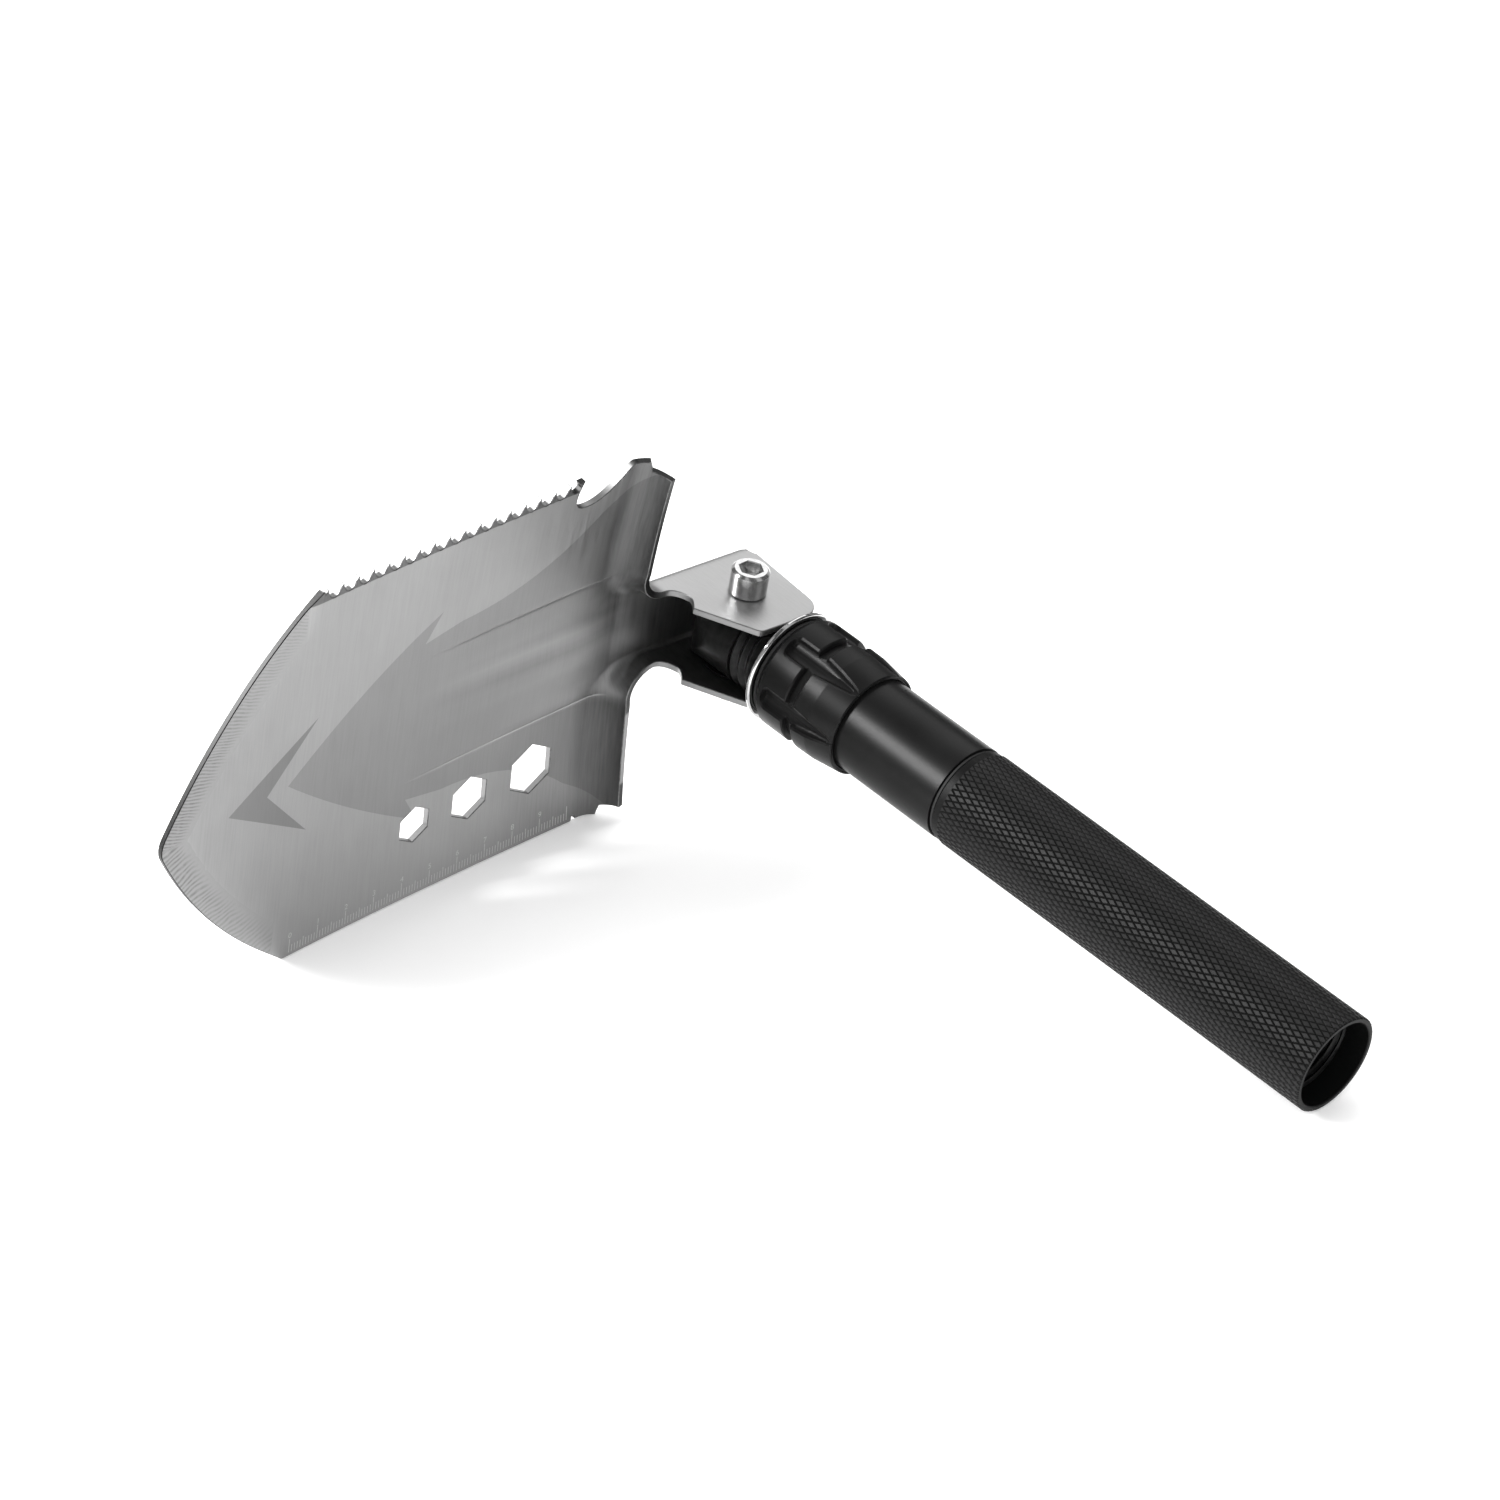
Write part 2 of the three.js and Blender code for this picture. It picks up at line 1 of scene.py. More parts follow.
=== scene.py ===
# A folding camp shovel standing on its ruler edge and the end of its grip.
#
# Every piece is drawn in millimetres in the handle's own frame: +X runs along the handle from the hinge
# pin to the open end of the grip, +Z is the hinge pin and the blade's tip points to -Y. One matrix,
# HANDLE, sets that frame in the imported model's frame.
import json
from math import asin, atan2, ceil, cos, hypot, pi, radians, sin, sqrt, tan

import bmesh
import bpy
import numpy as np
from mathutils import Matrix, Vector, geometry


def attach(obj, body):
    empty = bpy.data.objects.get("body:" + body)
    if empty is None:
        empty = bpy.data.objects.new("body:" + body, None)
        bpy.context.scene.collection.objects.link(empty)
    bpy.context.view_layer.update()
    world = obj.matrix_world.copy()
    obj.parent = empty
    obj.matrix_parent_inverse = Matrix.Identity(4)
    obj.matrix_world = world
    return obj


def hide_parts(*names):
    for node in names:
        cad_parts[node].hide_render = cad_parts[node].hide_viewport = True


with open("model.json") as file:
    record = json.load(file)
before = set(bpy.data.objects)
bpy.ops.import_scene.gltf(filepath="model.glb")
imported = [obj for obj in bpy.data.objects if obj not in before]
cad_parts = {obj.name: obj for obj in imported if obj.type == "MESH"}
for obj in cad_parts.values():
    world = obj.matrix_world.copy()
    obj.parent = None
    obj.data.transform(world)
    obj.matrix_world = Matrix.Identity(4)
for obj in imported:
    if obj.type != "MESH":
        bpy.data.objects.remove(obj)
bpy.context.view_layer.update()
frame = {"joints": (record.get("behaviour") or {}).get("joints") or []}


def add_object(name, data):
    obj = bpy.data.objects.new(name, data)
    bpy.context.collection.objects.link(obj)
    return obj


# ---- frame ----
MM = 0.001
joints = {joint["name"]: joint for joint in frame["joints"]}
PIN = Vector(joints["blade_fold"]["pos_m"])
PIN_AXIS = Vector(joints["blade_fold"]["axis"]).normalized()
ALONG = Vector(joints["ring_slide"]["axis"]).normalized()
SIDE = PIN_AXIS.cross(ALONG)
AXES = Matrix((ALONG, SIDE, PIN_AXIS)).transposed().to_4x4()
HANDLE = Matrix.Translation(PIN) @ AXES @ Matrix.Scale(MM, 4)

# ---- driving dimensions, in millimetres ----
GAP = 0.3
SHEET = 2.0
HALF_WIDTH = 60.0
SIDE_START = 39.0
SIDE_END = 143.0
TIP_OUT = 192.4
TIP_EDGE_BULGE = 4.4
TIP_ROUND = 3.0
BAND = 8.5
NECK_OUT = 30.0
NECK_X = -18.8
TIP_LIFT = 6.8
CURL_POWER = 2.4
DISH = 3.5
DISH_END = 165.0
CREASE = 20.0
RIDGE = 1.3
RIDGE_HALF = 15.0
STEP_OUT = 38.0
STEP_END = 27.5
NECK_FILLET = 9.0
TEETH = 17
TOOTH_PITCH = 5.2
TOOTH_DEPTH = 3.2
FIRST_TOOTH = 141.3
HOOK_DEPTH = 9.7
SPANNER_HOLES = ((55.5, 14.0), (78.0, 12.0), (98.0, 10.0))
SPANNER_Z = -36.0
EAR_SKEW = radians(5.3)
EAR_HALF = 13.0
BOLT_R = 3.0
HEAD_R = 5.3
HEAD_H = 7.4
SOCKET_FLATS = 5.8
BUSH_R = 4.0
TONGUE_HALF = 9.8
FRICTION_T = 0.6
NUT_FLATS = 10.0
NUT_H = 5.0
NYLON_H = 1.6
WASHER_T = 1.2
THREAD_R = 12.5
TONGUE_END = 19.2
RING_FRONT = 19.2
RING_T = 1.3
RING_R = 16.6
COLLAR_FRONT = 22.1
COLLAR_END = 51.0
COLLAR_R = 16.5
COLLAR_REAR_R = 15.3
COLLAR_BORE = 14.3
GROOVE_X = 33.2
GROOVE_W = 3.0
NUT_SLEEVE_END = 37.6
TUBE_START = 44.8
TUBE_R = 13.9
JOINT_X = 86.3
GRIP_R = 14.1
GRIP_END = 217.0
TUBE_BORE = 12.5
STUB_END = 70.0
SPIGOT_END = 112.0
GRUB_X = 60.0

# ---- camera ----
AZIMUTH = radians(45.09)
ELEVATION = radians(29.37)
ROLL = radians(0.465)
DISTANCE = 1.409
FOCAL_LENGTH = 124.3
AIM_RIGHT = 0.0026
AIM_DOWN = 0.0328
back = Vector((
    sin(AZIMUTH) * cos(ELEVATION),
    -cos(AZIMUTH) * cos(ELEVATION),
    sin(ELEVATION),
))
level = Vector((cos(AZIMUTH), sin(AZIMUTH), 0))
upright = back.cross(level)
right = level * cos(ROLL) + upright * sin(ROLL)
up = upright * cos(ROLL) - level * sin(ROLL)
lens = bpy.data.cameras.new("camera")
lens.lens = FOCAL_LENGTH
lens.sensor_width = 36
lens.clip_start = 0.05
camera = add_object("camera", lens)
aim = PIN + AIM_RIGHT * right - AIM_DOWN * up
facing = Matrix((right, up, back)).transposed().to_4x4()
camera.matrix_world = Matrix.Translation(aim + DISTANCE * back) @ facing
bpy.context.scene.camera = camera


# ---- materials ----
class Value:
    """A node's output. Sums, products and the methods below add nodes that work out new values from it."""

    def __init__(self, nodes, socket):
        self.nodes = nodes
        self.socket = socket

    def math(self, operation, *others):
        return self.nodes.add("Math", "Value", dict(enumerate((self, *others))), operation=operation)

    def __add__(self, other):
        return self.math("ADD", other)

    def __sub__(self, other):
        return self.math("SUBTRACT", other)

    def __mul__(self, other):
        return self.math("MULTIPLY", other)

    def __pow__(self, power):
        return self.math("POWER", power)

    def __abs__(self):
        return self.math("ABSOLUTE")

    def most(self, *others):
        """The greatest of this and the others."""
        return self.math("MAXIMUM", others[0].most(*others[1:])) if others else self

    def span(self, low, high, start=0.3, end=0.7, **settings):
        """Maps start..end to low..high and holds the ends; nearly all of a noise is in 0.3..0.7."""
        sockets = {"Value": self, "From Min": start, "From Max": end, "To Min": low, "To Max": high}
        return self.nodes.add("MapRange", "Result", sockets, **settings)

    def between(self, start, full, fall, end):
        """Rises from 0 to 1 over start..full and falls back to 0 over fall..end."""
        return self.span(0, 1, start, full) * self.span(1, 0, fall, end)


class Nodes:
    """A node tree and a short way to add nodes to it."""

    def __init__(self, tree):
        self.tree = tree

    def give(self, value, socket):
        """Gives a socket a value that another node works out, or a plain one."""
        if isinstance(value, Value):
            self.tree.links.new(value.socket, socket)
        else:
            socket.default_value = value

    def add(self, kind, output, sockets, **settings):
        """Adds a node, fills its sockets and returns one of its outputs."""
        node = self.tree.nodes.new("ShaderNode" + kind)
        for name, value in settings.items():
            setattr(node, name, value)
        for name, value in sockets.items():
            self.give(value, node.inputs[name])
        return Value(self, node.outputs[output])

    def parts(self, vector, axes):
        """A vector's parts along some of X, Y and Z."""
        return [self.add("SeparateXYZ", axis, {"Vector": vector}) for axis in axes]


class Finish(Nodes):
    """A Principled material with procedural detail, placed in millimetres in the handle's frame."""

    def __init__(self, name, color, metallic, roughness):
        self.material = bpy.data.materials.new(name)
        self.material.use_nodes = True
        super().__init__(self.material.node_tree)
        self.shader = self.tree.nodes["Principled BSDF"]
        self.set("Base Color", (*color, 1))
        self.set("Metallic", metallic)
        self.set("Roughness", roughness)
        place = self.add("TexCoord", "Object", {})
        handle = {"Vector": place, "Location": PIN, "Rotation": AXES.to_euler(), "Scale": (MM, MM, MM)}
        self.coordinates = self.add("Mapping", "Vector", handle, vector_type="TEXTURE")

    def set(self, name, value):
        """Gives one of the shader's own sockets."""
        self.give(value, self.shader.inputs[name])

    def place(self, axes):
        return self.parts(self.coordinates, axes)

    def noise(self, scale, detail=3, roughness=0.55):
        """Noise over the piece; scale is per millimetre, one number or one each along X, Y and Z."""
        scales = scale if isinstance(scale, tuple) else (scale, scale, scale)
        place = self.add("Mapping", "Vector", {"Vector": self.coordinates, "Scale": scales})
        sockets = {"Vector": place, "Scale": 1, "Detail": detail, "Roughness": roughness}
        return self.add("TexNoise", "Fac", sockets)

    def tint(self, value, dark, light):
        """Base colour from dark to light as value goes from 0 to 1."""
        ends = {"Factor": value, "A": (*dark, 1), "B": (*light, 1)}
        self.set("Base Color", self.add("Mix", "Result", ends, data_type="RGBA"))

    def bump(self, value, strength, height):
        """Relief that follows a value; height is in millimetres."""
        sockets = {"Height": value, "Strength": strength, "Distance": height * MM}
        self.set("Normal", self.add("Bump", "Normal", sockets))

    def done(self, value, dark, light, noise, roughness, relief=None):
        """Colours by a value, lets a noise carry the roughness and any relief, and returns the material."""
        self.tint(value, dark, light)
        self.set("Roughness", noise.span(*roughness))
        if relief:
            self.bump(noise, *relief)
        return self.material

    def follow(self, noise, dark, light, roughness, relief=None):
        """Lets one noise carry the colour too."""
        return self.done(noise.span(0, 1), dark, light, noise, roughness, relief)


def grey(value, warm=0.0):
    return (value * (1 + warm), value, value * (1 - warm))


def brushed_steel(name, tone, roughness, neck_shade_tone, pressed=False, beyond=1.0):
    """Satin stainless sheet with a fine grain across the blade, with painted shade that darkens it towards
    the neck or beyond it.
    """
    finish = Finish(name, grey(tone), 1, roughness)
    streaks = finish.noise((0.2, 1.7, 0.07), detail=4)
    cloud = finish.noise(0.03, detail=2)
    y, z = finish.place("YZ")
    out = y * -1
    far = ((out - 8) ** 2 + z * z * 1.1) ** 0.5
    # painted shade: darker towards the neck, and darker beyond it where beyond is under 1
    value = far.span(neck_shade_tone, 1, 8, 43).math("SMOOTH_MIN", 1, 0.2)
    value = value * out.span(1, beyond, 18, 34)
    # painted shade and painted highlight on the pressed front faces
    if pressed:
        value = value * pressed_shade(out, z) + press_marks(out, z)
    value = value + streaks.span(-0.06, 0.06) + cloud.span(-0.03, 0.03)
    rough = (roughness - 0.05, roughness + 0.06)
    return finish.done(value * 0.5, grey(0), grey(2 * tone), streaks, rough, relief=(0.12, 0.02))


def ruler_shade(z):
    """Painted shade: the sheet darkens a little towards the ruler."""
    return z.span(0.88, 1, -62, -15)


def pressed_shade(out, z):
    """Painted shade and painted highlight on the pressed front face: how much darker or lighter places are
    than its middle.
    """
    foot = out.span(0.42, 1, 27, 42).most(abs(z).span(1, 0, 14, 34))
    lower_foot = out.span(0.68, 1, 34, 72).most(z.span(0, 1, -34, -17))
    upper_foot = out.span(0.6, 1, 31, 39).most(z.span(1, 0, 10, 26))
    upper_rim = out.span(1.4, 1, 22, 29)
    root = HALF_WIDTH - TOOTH_DEPTH
    teeth = z.span(1, 0.4, root - 0.2, root).most(out.span(1, 0, 52, 54))
    tip = out.span(1, 0.8, 110, 190)
    return foot * lower_foot * upper_foot * upper_rim * teeth * tip * ruler_shade(z)


# Each painted streak of highlight or shade: its Z at the pin, its drift in Z per millimetre out, its half
# width and its strength.
PAINTED_RIDGE_STREAKS = (
    (4.6, 0.035, 3.0, 0.2),
    (-0.6, 0.035, 3.0, -0.14),
    (10.5, 0.02, 3.6, 0.08),
    (-5.5, 0.01, 3.0, 0.05),
)


def press_marks(out, z):
    """Painted highlight and painted shade in soft streaks along the middle panel, where its soft ridges face
    towards or away from the light, and a painted highlight along its lower crease.
    """
    reach = out.between(22, 36, 62, 104)
    marks = []
    for start, drift, half, strength in PAINTED_RIDGE_STREAKS:
        off = abs(z - (out * drift + start))
        marks.append(off.span(strength, 0, 0, half) * reach)
    crease = abs(z + CREASE).span(0.8, 0, 0.05, 0.4)
    return sum(marks, crease * out.between(31, 36, 70, 104))


def sheet_edge():
    """The cut edge of the sheet, in painted shade that keeps it dark in the gullets, with painted highlights
    that make it brighter at the hook, the ears, the teeth and the spanner holes.
    """
    finish = Finish("sheet_edge", grey(0.2), 1, 0.35)
    marks = finish.noise(2.5)
    y, z = finish.place("YZ")
    hook = y.between(-53, -50, -37, -35) * z.span(0, 0.36, 40, 44)
    ears = y.span(0, 0.4, -24, -16)
    saw = y.between(-FIRST_TOOTH - 2, -FIRST_TOOTH, -58, -56) * z.span(0, 0.4, 50, 52)
    holes = abs(z - SPANNER_Z).span(0.3, 0, 11, 12)
    value = marks.span(0, 0.04) + hook.most(ears, saw, holes)
    return finish.done(value, grey(0.03), grey(0.75), marks, (0.38, 0.5), relief=(0.15, 0.05))


def rim_steel():
    """The narrow rounded rim of the cut edge, unevenly worn, with painted shade that darkens it at the tip.
    """
    finish = Finish("sheet_rim", grey(0.3), 1, 0.3)
    wear = finish.noise(0.8, detail=4)
    tip = finish.place("Y")[0].span(0.1, 1, -SIDE_END - 6, -SIDE_END + 4)
    return finish.done(wear.span(0.4, 1) * tip, grey(0), grey(0.26), wear, (0.35, 0.5))


def from_tip_edge(y, side):
    """How far a place is inside the tip's bowed edge."""
    run = TIP_OUT - SIDE_END
    chord = hypot(run, HALF_WIDTH)
    inward = y + TIP_OUT
    level = inward * (HALF_WIDTH / chord) - side * (run / chord)
    part = inward * (run / chord ** 2) + side * (HALF_WIDTH / chord ** 2)
    return level + (part - part * part) * (4 * TIP_EDGE_BULGE)


def ground_edge():
    """The tip's sharpened band: strokes of the grinding wheel run in from the edge and die out."""
    finish = Finish("ground_edge", grey(0.4), 1, 0.42)
    y, z = finish.place("YZ")
    side = abs(z)
    ragged = finish.noise((0.25, 0.7, 0.7))
    depth = from_tip_edge(y, side) + ragged.span(-1.2, 1.2)
    wander = finish.noise(0.08, detail=2).span(-0.8, 0.8)
    across = (y * 0.33 + side * 0.94) * z.span(0.7, 1.3, -0.5, 0.5) + wander
    fade = depth.span(1, 0, 4.5, BAND - 0.8) * ragged.span(0.35, 1) * side.span(1, 0.4, 10, 48)
    stroke = across.math("PINGPONG", 0.62).span(0, 1, 0.2, 0.5) * fade
    streaks = finish.noise((0.2, 6.0, 0.12), detail=4)
    # painted shade: the band darkens towards the tip and towards the ruler
    tip_painted_shade = y.span(0.71, 0.91, -190, -130)
    value = tip_painted_shade * ruler_shade(z) * stroke.span(1, 0.5, 0, 1)
    finish.bump(stroke, 0.12, 0.1)
    return finish.done(value + streaks.span(-0.04, 0.04), grey(0), grey(STEEL_TONE), streaks, (0.39, 0.5))


def etched():
    """The ruler's frosted marks, a little lighter than the satin sheet."""
    finish = Finish("etched_marks", grey(0.7), 1, 0.5)
    return finish.follow(finish.noise(1.5), grey(0.46), grey(0.62), (0.45, 0.6))


def chrome(name, dull):
    finish = Finish(name, grey(0.7), 1, 0.08)
    haze = finish.noise(0.6, detail=4)
    return finish.follow(haze, grey(0.62), grey(0.78), (dull, dull + 0.09), relief=(0.04, 0.02))


def zinc():
    finish = Finish("zinc", grey(0.5, 0.03), 1, 0.3)
    crystals = finish.noise(1.6, detail=5, roughness=0.7)
    return finish.follow(crystals, grey(0.2, 0.02), grey(0.34, 0.04), (0.24, 0.42), relief=(0.1, 0.05))


def black_anodised():
    """Satin black anodising on turned aluminium, with a very fine grain."""
    finish = Finish("black_anodised", grey(0.006), 0, 0.33)
    grain = finish.noise(7, detail=2)
    cloud = finish.noise(0.08)
    value = grain.span(-0.2, 0.2) + cloud.span(0.2, 0.8)
    finish.set("Specular IOR Level", 0.15)
    return finish.done(value, grey(0.0042), grey(0.0081), grain, (0.28, 0.4), relief=(0.12, 0.04))


def black_knurl():
    """The grip: anodised, with a painted highlight that makes the diamonds' crests a little lighter than the
    grooves, patchy by a noise.
    """
    finish = Finish("black_knurl", grey(0.012), 0, 0.42)
    grain = finish.noise(5)
    y, z = finish.place("YZ")
    radius = (y * y + z * z) ** 0.5
    crest = radius.span(0, 1, GRIP_R - 0.3, GRIP_R)
    finish.set("Specular IOR Level", 0.14)
    crest_highlight = crest * grain.span(0.5, 1)
    return finish.done(crest_highlight, grey(0.003), grey(0.016), grain, (0.4, 0.56), relief=(0.25, 0.08))


def dark_steel():
    finish = Finish("dark_steel", grey(0.02), 0.8, 0.4)
    oil = finish.noise(0.5, detail=4)
    return finish.follow(oil, grey(0.012), grey(0.024), (0.36, 0.44), relief=(0.1, 0.05))


def bronze():
    finish = Finish("bronze", (0.42, 0.27, 0.1), 1, 0.4)
    pores = finish.noise(3, detail=4)
    return finish.follow(pores, (0.3, 0.18, 0.06), (0.5, 0.33, 0.13), (0.32, 0.5), relief=(0.2, 0.05))


def plastic(name, dark, light, roughness):
    finish = Finish(name, light, 0, roughness)
    grain = finish.noise(2, detail=4)
    return finish.follow(grain, dark, light, (roughness - 0.08, roughness + 0.08), relief=(0.2, 0.05))


STEEL_TONE = 0.39
STEEL = brushed_steel("steel_face", STEEL_TONE, 0.44, 0.26, pressed=True)
STEEL_DARK = brushed_steel("steel_pattern", 0.3, 0.42, 0.32, pressed=True)
STEEL_DEEP = brushed_steel("steel_chevron", 0.22, 0.42, 0.2)
# The back face: the sheet steel painted lighter, a painted highlight on the ears' outer faces, with painted
# shade darkening the back beyond the ears.
STEEL_PLAIN = brushed_steel("steel_back", 0.56, 0.42, 0.9, beyond=0.38)
STEEL_RIM = rim_steel()
STEEL_EDGE = sheet_edge()
GROUND_EDGE = ground_edge()
MARKING = etched()
BOLT_CHROME = chrome("chrome_bolt", 0.13)
OF_SLOT = {
    "chrome_steel": chrome("chrome_ring", 0.05),
    "zinc_steel": zinc(),
    "black_anodised": black_anodised(),
    "black_knurl": black_knurl(),
    "dark_steel": dark_steel(),
    "bronze": bronze(),
    "seal_rubber": plastic("seal_rubber", grey(0.004), grey(0.012), 0.7),
    "nylon": plastic("nylon", (0.6, 0.58, 0.52), (0.75, 0.73, 0.66), 0.5),
}


# ---- mesh tools ----
def piece(name, shape, body, slot, *nodes, materials=(), index=None, sharp=32, bevel=0):
    """Makes one piece from its vertices, in the handle's frame, and its faces, and puts it on its body. It
    stands for the CAD nodes that are named. Its material is its slot's unless it has its own."""
    verts, faces = shape
    mesh = bpy.data.meshes.new(name)
    mesh.from_pydata([tuple(v) for v in verts], [], faces)
    for material in materials or [OF_SLOT[slot]]:
        mesh.materials.append(material)
    if index is not None:
        mesh.polygons.foreach_set("material_index", index)
    mesh.transform(HANDLE)
    mesh.update()
    mesh.shade_smooth()
    mesh.set_sharp_from_angle(angle=radians(sharp))
    obj = add_object(name, mesh)
    if bevel:
        rounding = obj.modifiers.new("edge", "BEVEL")
        rounding.width = bevel * MM
        rounding.segments = 2
        rounding.limit_method = "ANGLE"
        rounding.angle_limit = radians(sharp)
        rounding.harden_normals = False
    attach(obj, body)
    if nodes:
        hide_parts(*nodes)
    return obj


def skin(rings, closed=True):
    """Faces that join rings of equal length; closed joins the last to the first, else the ends are capped."""
    count = len(rings[0])
    verts = [point for ring in rings for point in ring]
    faces = []
    for i in range(len(rings) if closed else len(rings) - 1):
        low = i * count
        high = ((i + 1) % len(rings)) * count
        for j in range(count):
            k = (j + 1) % count
            faces.append((low + j, low + k, high + k, high + j))
    if not closed:
        faces.append(tuple(reversed(range(count))))
        faces.append(tuple(range((len(rings) - 1) * count, len(rings) * count)))
    return verts, faces


def polar(x, radius, angle):
    return (x, radius * cos(angle), radius * sin(angle))


def around(radius, sides):
    """A ring in its own plane; radius is a number or a function of the angle."""
    at = radius if callable(radius) else lambda a: radius
    angles = [2 * pi * i / sides for i in range(sides)]
    return [(at(a) * cos(a), at(a) * sin(a)) for a in angles]


def about_x(x, radius, sides=120):
    return [(x, u, v) for u, v in around(radius, sides)]


def about_pin(z, radius):
    return [(u, v, z) for u, v in around(radius, 96)]


def turned(section, ring=about_x, closed=True):
    """A turned piece from its section, a list of (place along the axis, radius)."""
    return skin([ring(place, radius) for place, radius in section], closed)


def tube(inner, outer, start, end):
    return [(start, inner), (start, outer), (end, outer), (end, inner)]


def helix(radius, depth, pitch, x):
    """A right-hand thread's radius at x as a function of the angle, with a slightly flattened crest."""
    def at(a):
        phase = (x / pitch - a / (2 * pi)) % 1
        wave = abs(2 * phase - 1)
        return radius - depth * min(1, max(0, 1.25 * wave - 0.12))
    return at


def hexagon_radius(flats):
    def at(a):
        return flats / 2 / cos((a + pi / 6) % (pi / 3) - pi / 6)
    return at


def drill(obj, center, radius, length):
    """Cuts a round hole along the pin's direction through a piece for good."""
    bm = bmesh.new()
    bmesh.ops.create_cone(bm, cap_ends=True, segments=48, radius1=radius, radius2=radius, depth=length)
    bm.transform(HANDLE @ Matrix.Translation(center))
    mesh = bpy.data.meshes.new("cutter")
    bm.to_mesh(mesh)
    bm.free()
    cutter = add_object("cutter", mesh)
    cut = obj.modifiers.new("hole", "BOOLEAN")
    cut.object = cutter
    cut.solver = "EXACT"
    bpy.context.view_layer.update()
    baked = bpy.data.meshes.new_from_object(obj.evaluated_get(bpy.context.evaluated_depsgraph_get()))
    obj.modifiers.clear()
    obj.data = baked
    baked.set_sharp_from_angle(angle=radians(32))
    bpy.data.objects.remove(cutter)


# ---- blade ----
# The blade is one sheet that runs from the tip through the neck into the two ears. It is drawn flat, as
# (out, s), where s is the distance across. A flange runs all round its handle end: at the foot step it is
# rolled up gently, round the neck's fillet the roll tightens, and along the neck it folds into the ears.
BEND_FROM = 10.0
BEND_MID_R = 2.0
BEND_LENGTH = BEND_MID_R * pi / 2
WEB_MID = -17.0
EAR_HEIGHT = 6.6
FOOT_TURN = radians(80)
FOOT_BEND_R = 9.8
FILLET_OUT = STEP_END - NECK_FILLET
FILLET_S = EAR_HALF + NECK_FILLET
FOOT_ROLL = FILLET_OUT + NECK_FILLET + FOOT_BEND_R * sin(FOOT_TURN)
LINE_DEPTH = 0.22
LINE_HALF = 0.55
EDGE = 0.2
GRIND = 0.5
GRIND_FULL = SIDE_END + 6
STEP_CORNER = HALF_WIDTH - 5.0
SKEW_X = cos(EAR_SKEW)
# where the pin's axis runs through the flat ears
PIN_OUT = -16.0 * sin(EAR_SKEW)
PIN_S = BEND_FROM + BEND_LENGTH - (WEB_MID + BEND_MID_R)


def rise(value, start, end):
    """A smooth step from 0 at start to 1 at end."""
    t = np.clip((value - start) / (end - start), 0, 1)
    return t * t * (3 - 2 * t)


def face_x(out, z):
    """X of the blade's front face."""
    curl = np.clip((out - NECK_OUT) / (TIP_OUT - NECK_OUT), 0, 2) ** CURL_POWER
    along = NECK_X + tan(EAR_SKEW) * np.maximum(NECK_OUT - out, 0) + TIP_LIFT * curl
    fade = np.clip((DISH_END - out) / (DISH_END - SIDE_START), 0, 1.1) * rise(out, 14, 23)
    side = np.maximum(0, (np.abs(z) - CREASE) / (HALF_WIDTH - CREASE))
    dish = DISH * fade * (side + side * side) / 2
    crown = rise(out, 28, 45) * rise(out, 115, 40)
    ridge = RIDGE * crown * np.maximum(0, 1 - (z / RIDGE_HALF) ** 2) ** 2
    line = np.maximum(0, 1 - ((np.abs(z) - CREASE) / LINE_HALF) ** 2)
    line = LINE_DEPTH * line * rise(out, 30, 36) * rise(out, 108, 78)
    return along + dish + ridge - line


def flange(part):
    """The flange from the foot step (part 0) round the fillet to the ear (part 1): its bend's radius and
    angle, the straight wall above that, and how far its bend starts from the fillet's centre."""
    radius = BEND_MID_R + (FOOT_BEND_R - BEND_MID_R) * (1 - rise(part, 0, 1)) ** 1.3
    turn = FOOT_TURN + (pi / 2 - FOOT_TURN) * part
    height = FOOT_BEND_R * (1 - cos(FOOT_TURN)) * (1 - part) + EAR_HEIGHT * part
    wall = (height - radius * (1 - np.cos(turn))) / np.sin(turn)
    start = NECK_FILLET + part + radius * np.sin(turn) + wall * np.cos(turn)
    return radius, turn, wall, start


def middle(out, s):
    """The folded sheet's middle plane: points for flat places (out, s)."""
    across = np.abs(s)
    ahead = np.maximum(out - FILLET_OUT, 0)
    aside = np.maximum(FILLET_S - across, 0)
    part = np.where(ahead > 0, np.arctan2(aside, np.maximum(ahead, 1e-9)) / (pi / 2), 1.0)
    part = np.where(across >= FILLET_S, np.where(ahead > 0, 0.0, part), part)
    toward_out = np.cos(part * pi / 2)
    toward_middle = np.sin(part * pi / 2)
    radius, most, _, start = flange(part)
    from_center = (out - FILLET_OUT) * toward_out + (FILLET_S - across) * toward_middle
    beyond = np.maximum(start - from_center, 0)
    bend = np.minimum(beyond / radius, most)
    flat = beyond - radius * bend
    moved = beyond - radius * np.sin(bend) - flat * np.cos(bend)
    lift = radius * (1 - np.cos(bend)) + flat * np.sin(bend)
    plan_out = out + moved * toward_out
    z = across - moved * toward_middle
    x = face_x(plan_out, z) - SHEET / 2 + lift * np.cos(EAR_SKEW * part)
    y = -plan_out - lift * np.sin(EAR_SKEW * part)
    return np.stack([x, y, np.sign(s) * z], -1)


def normal(out, s):
    h = 0.02
    along_out = middle(out + h, s) - middle(out - h, s)
    along_s = middle(out, s + h) - middle(out, s - h)
    n = np.cross(along_s, along_out)
    return n / np.linalg.norm(n, axis=-1, keepdims=True)


def curve(start, control, end, count):
    """Points of a quadratic curve, without its start."""
    points = []
    for i in range(1, count + 1):
        t = i / count
        points.append(tuple((1 - t) ** 2 * a + 2 * t * (1 - t) * b + t * t * c
                            for a, b, c in zip(start, control, end)))
    return points


def path(start, *steps):
    """A line through steps, where a step is a point or the (control, end, count) of a curve."""
    points = [start]
    for step in steps:
        points += curve(points[-1], *step) if len(step) == 3 else [step]
    return points


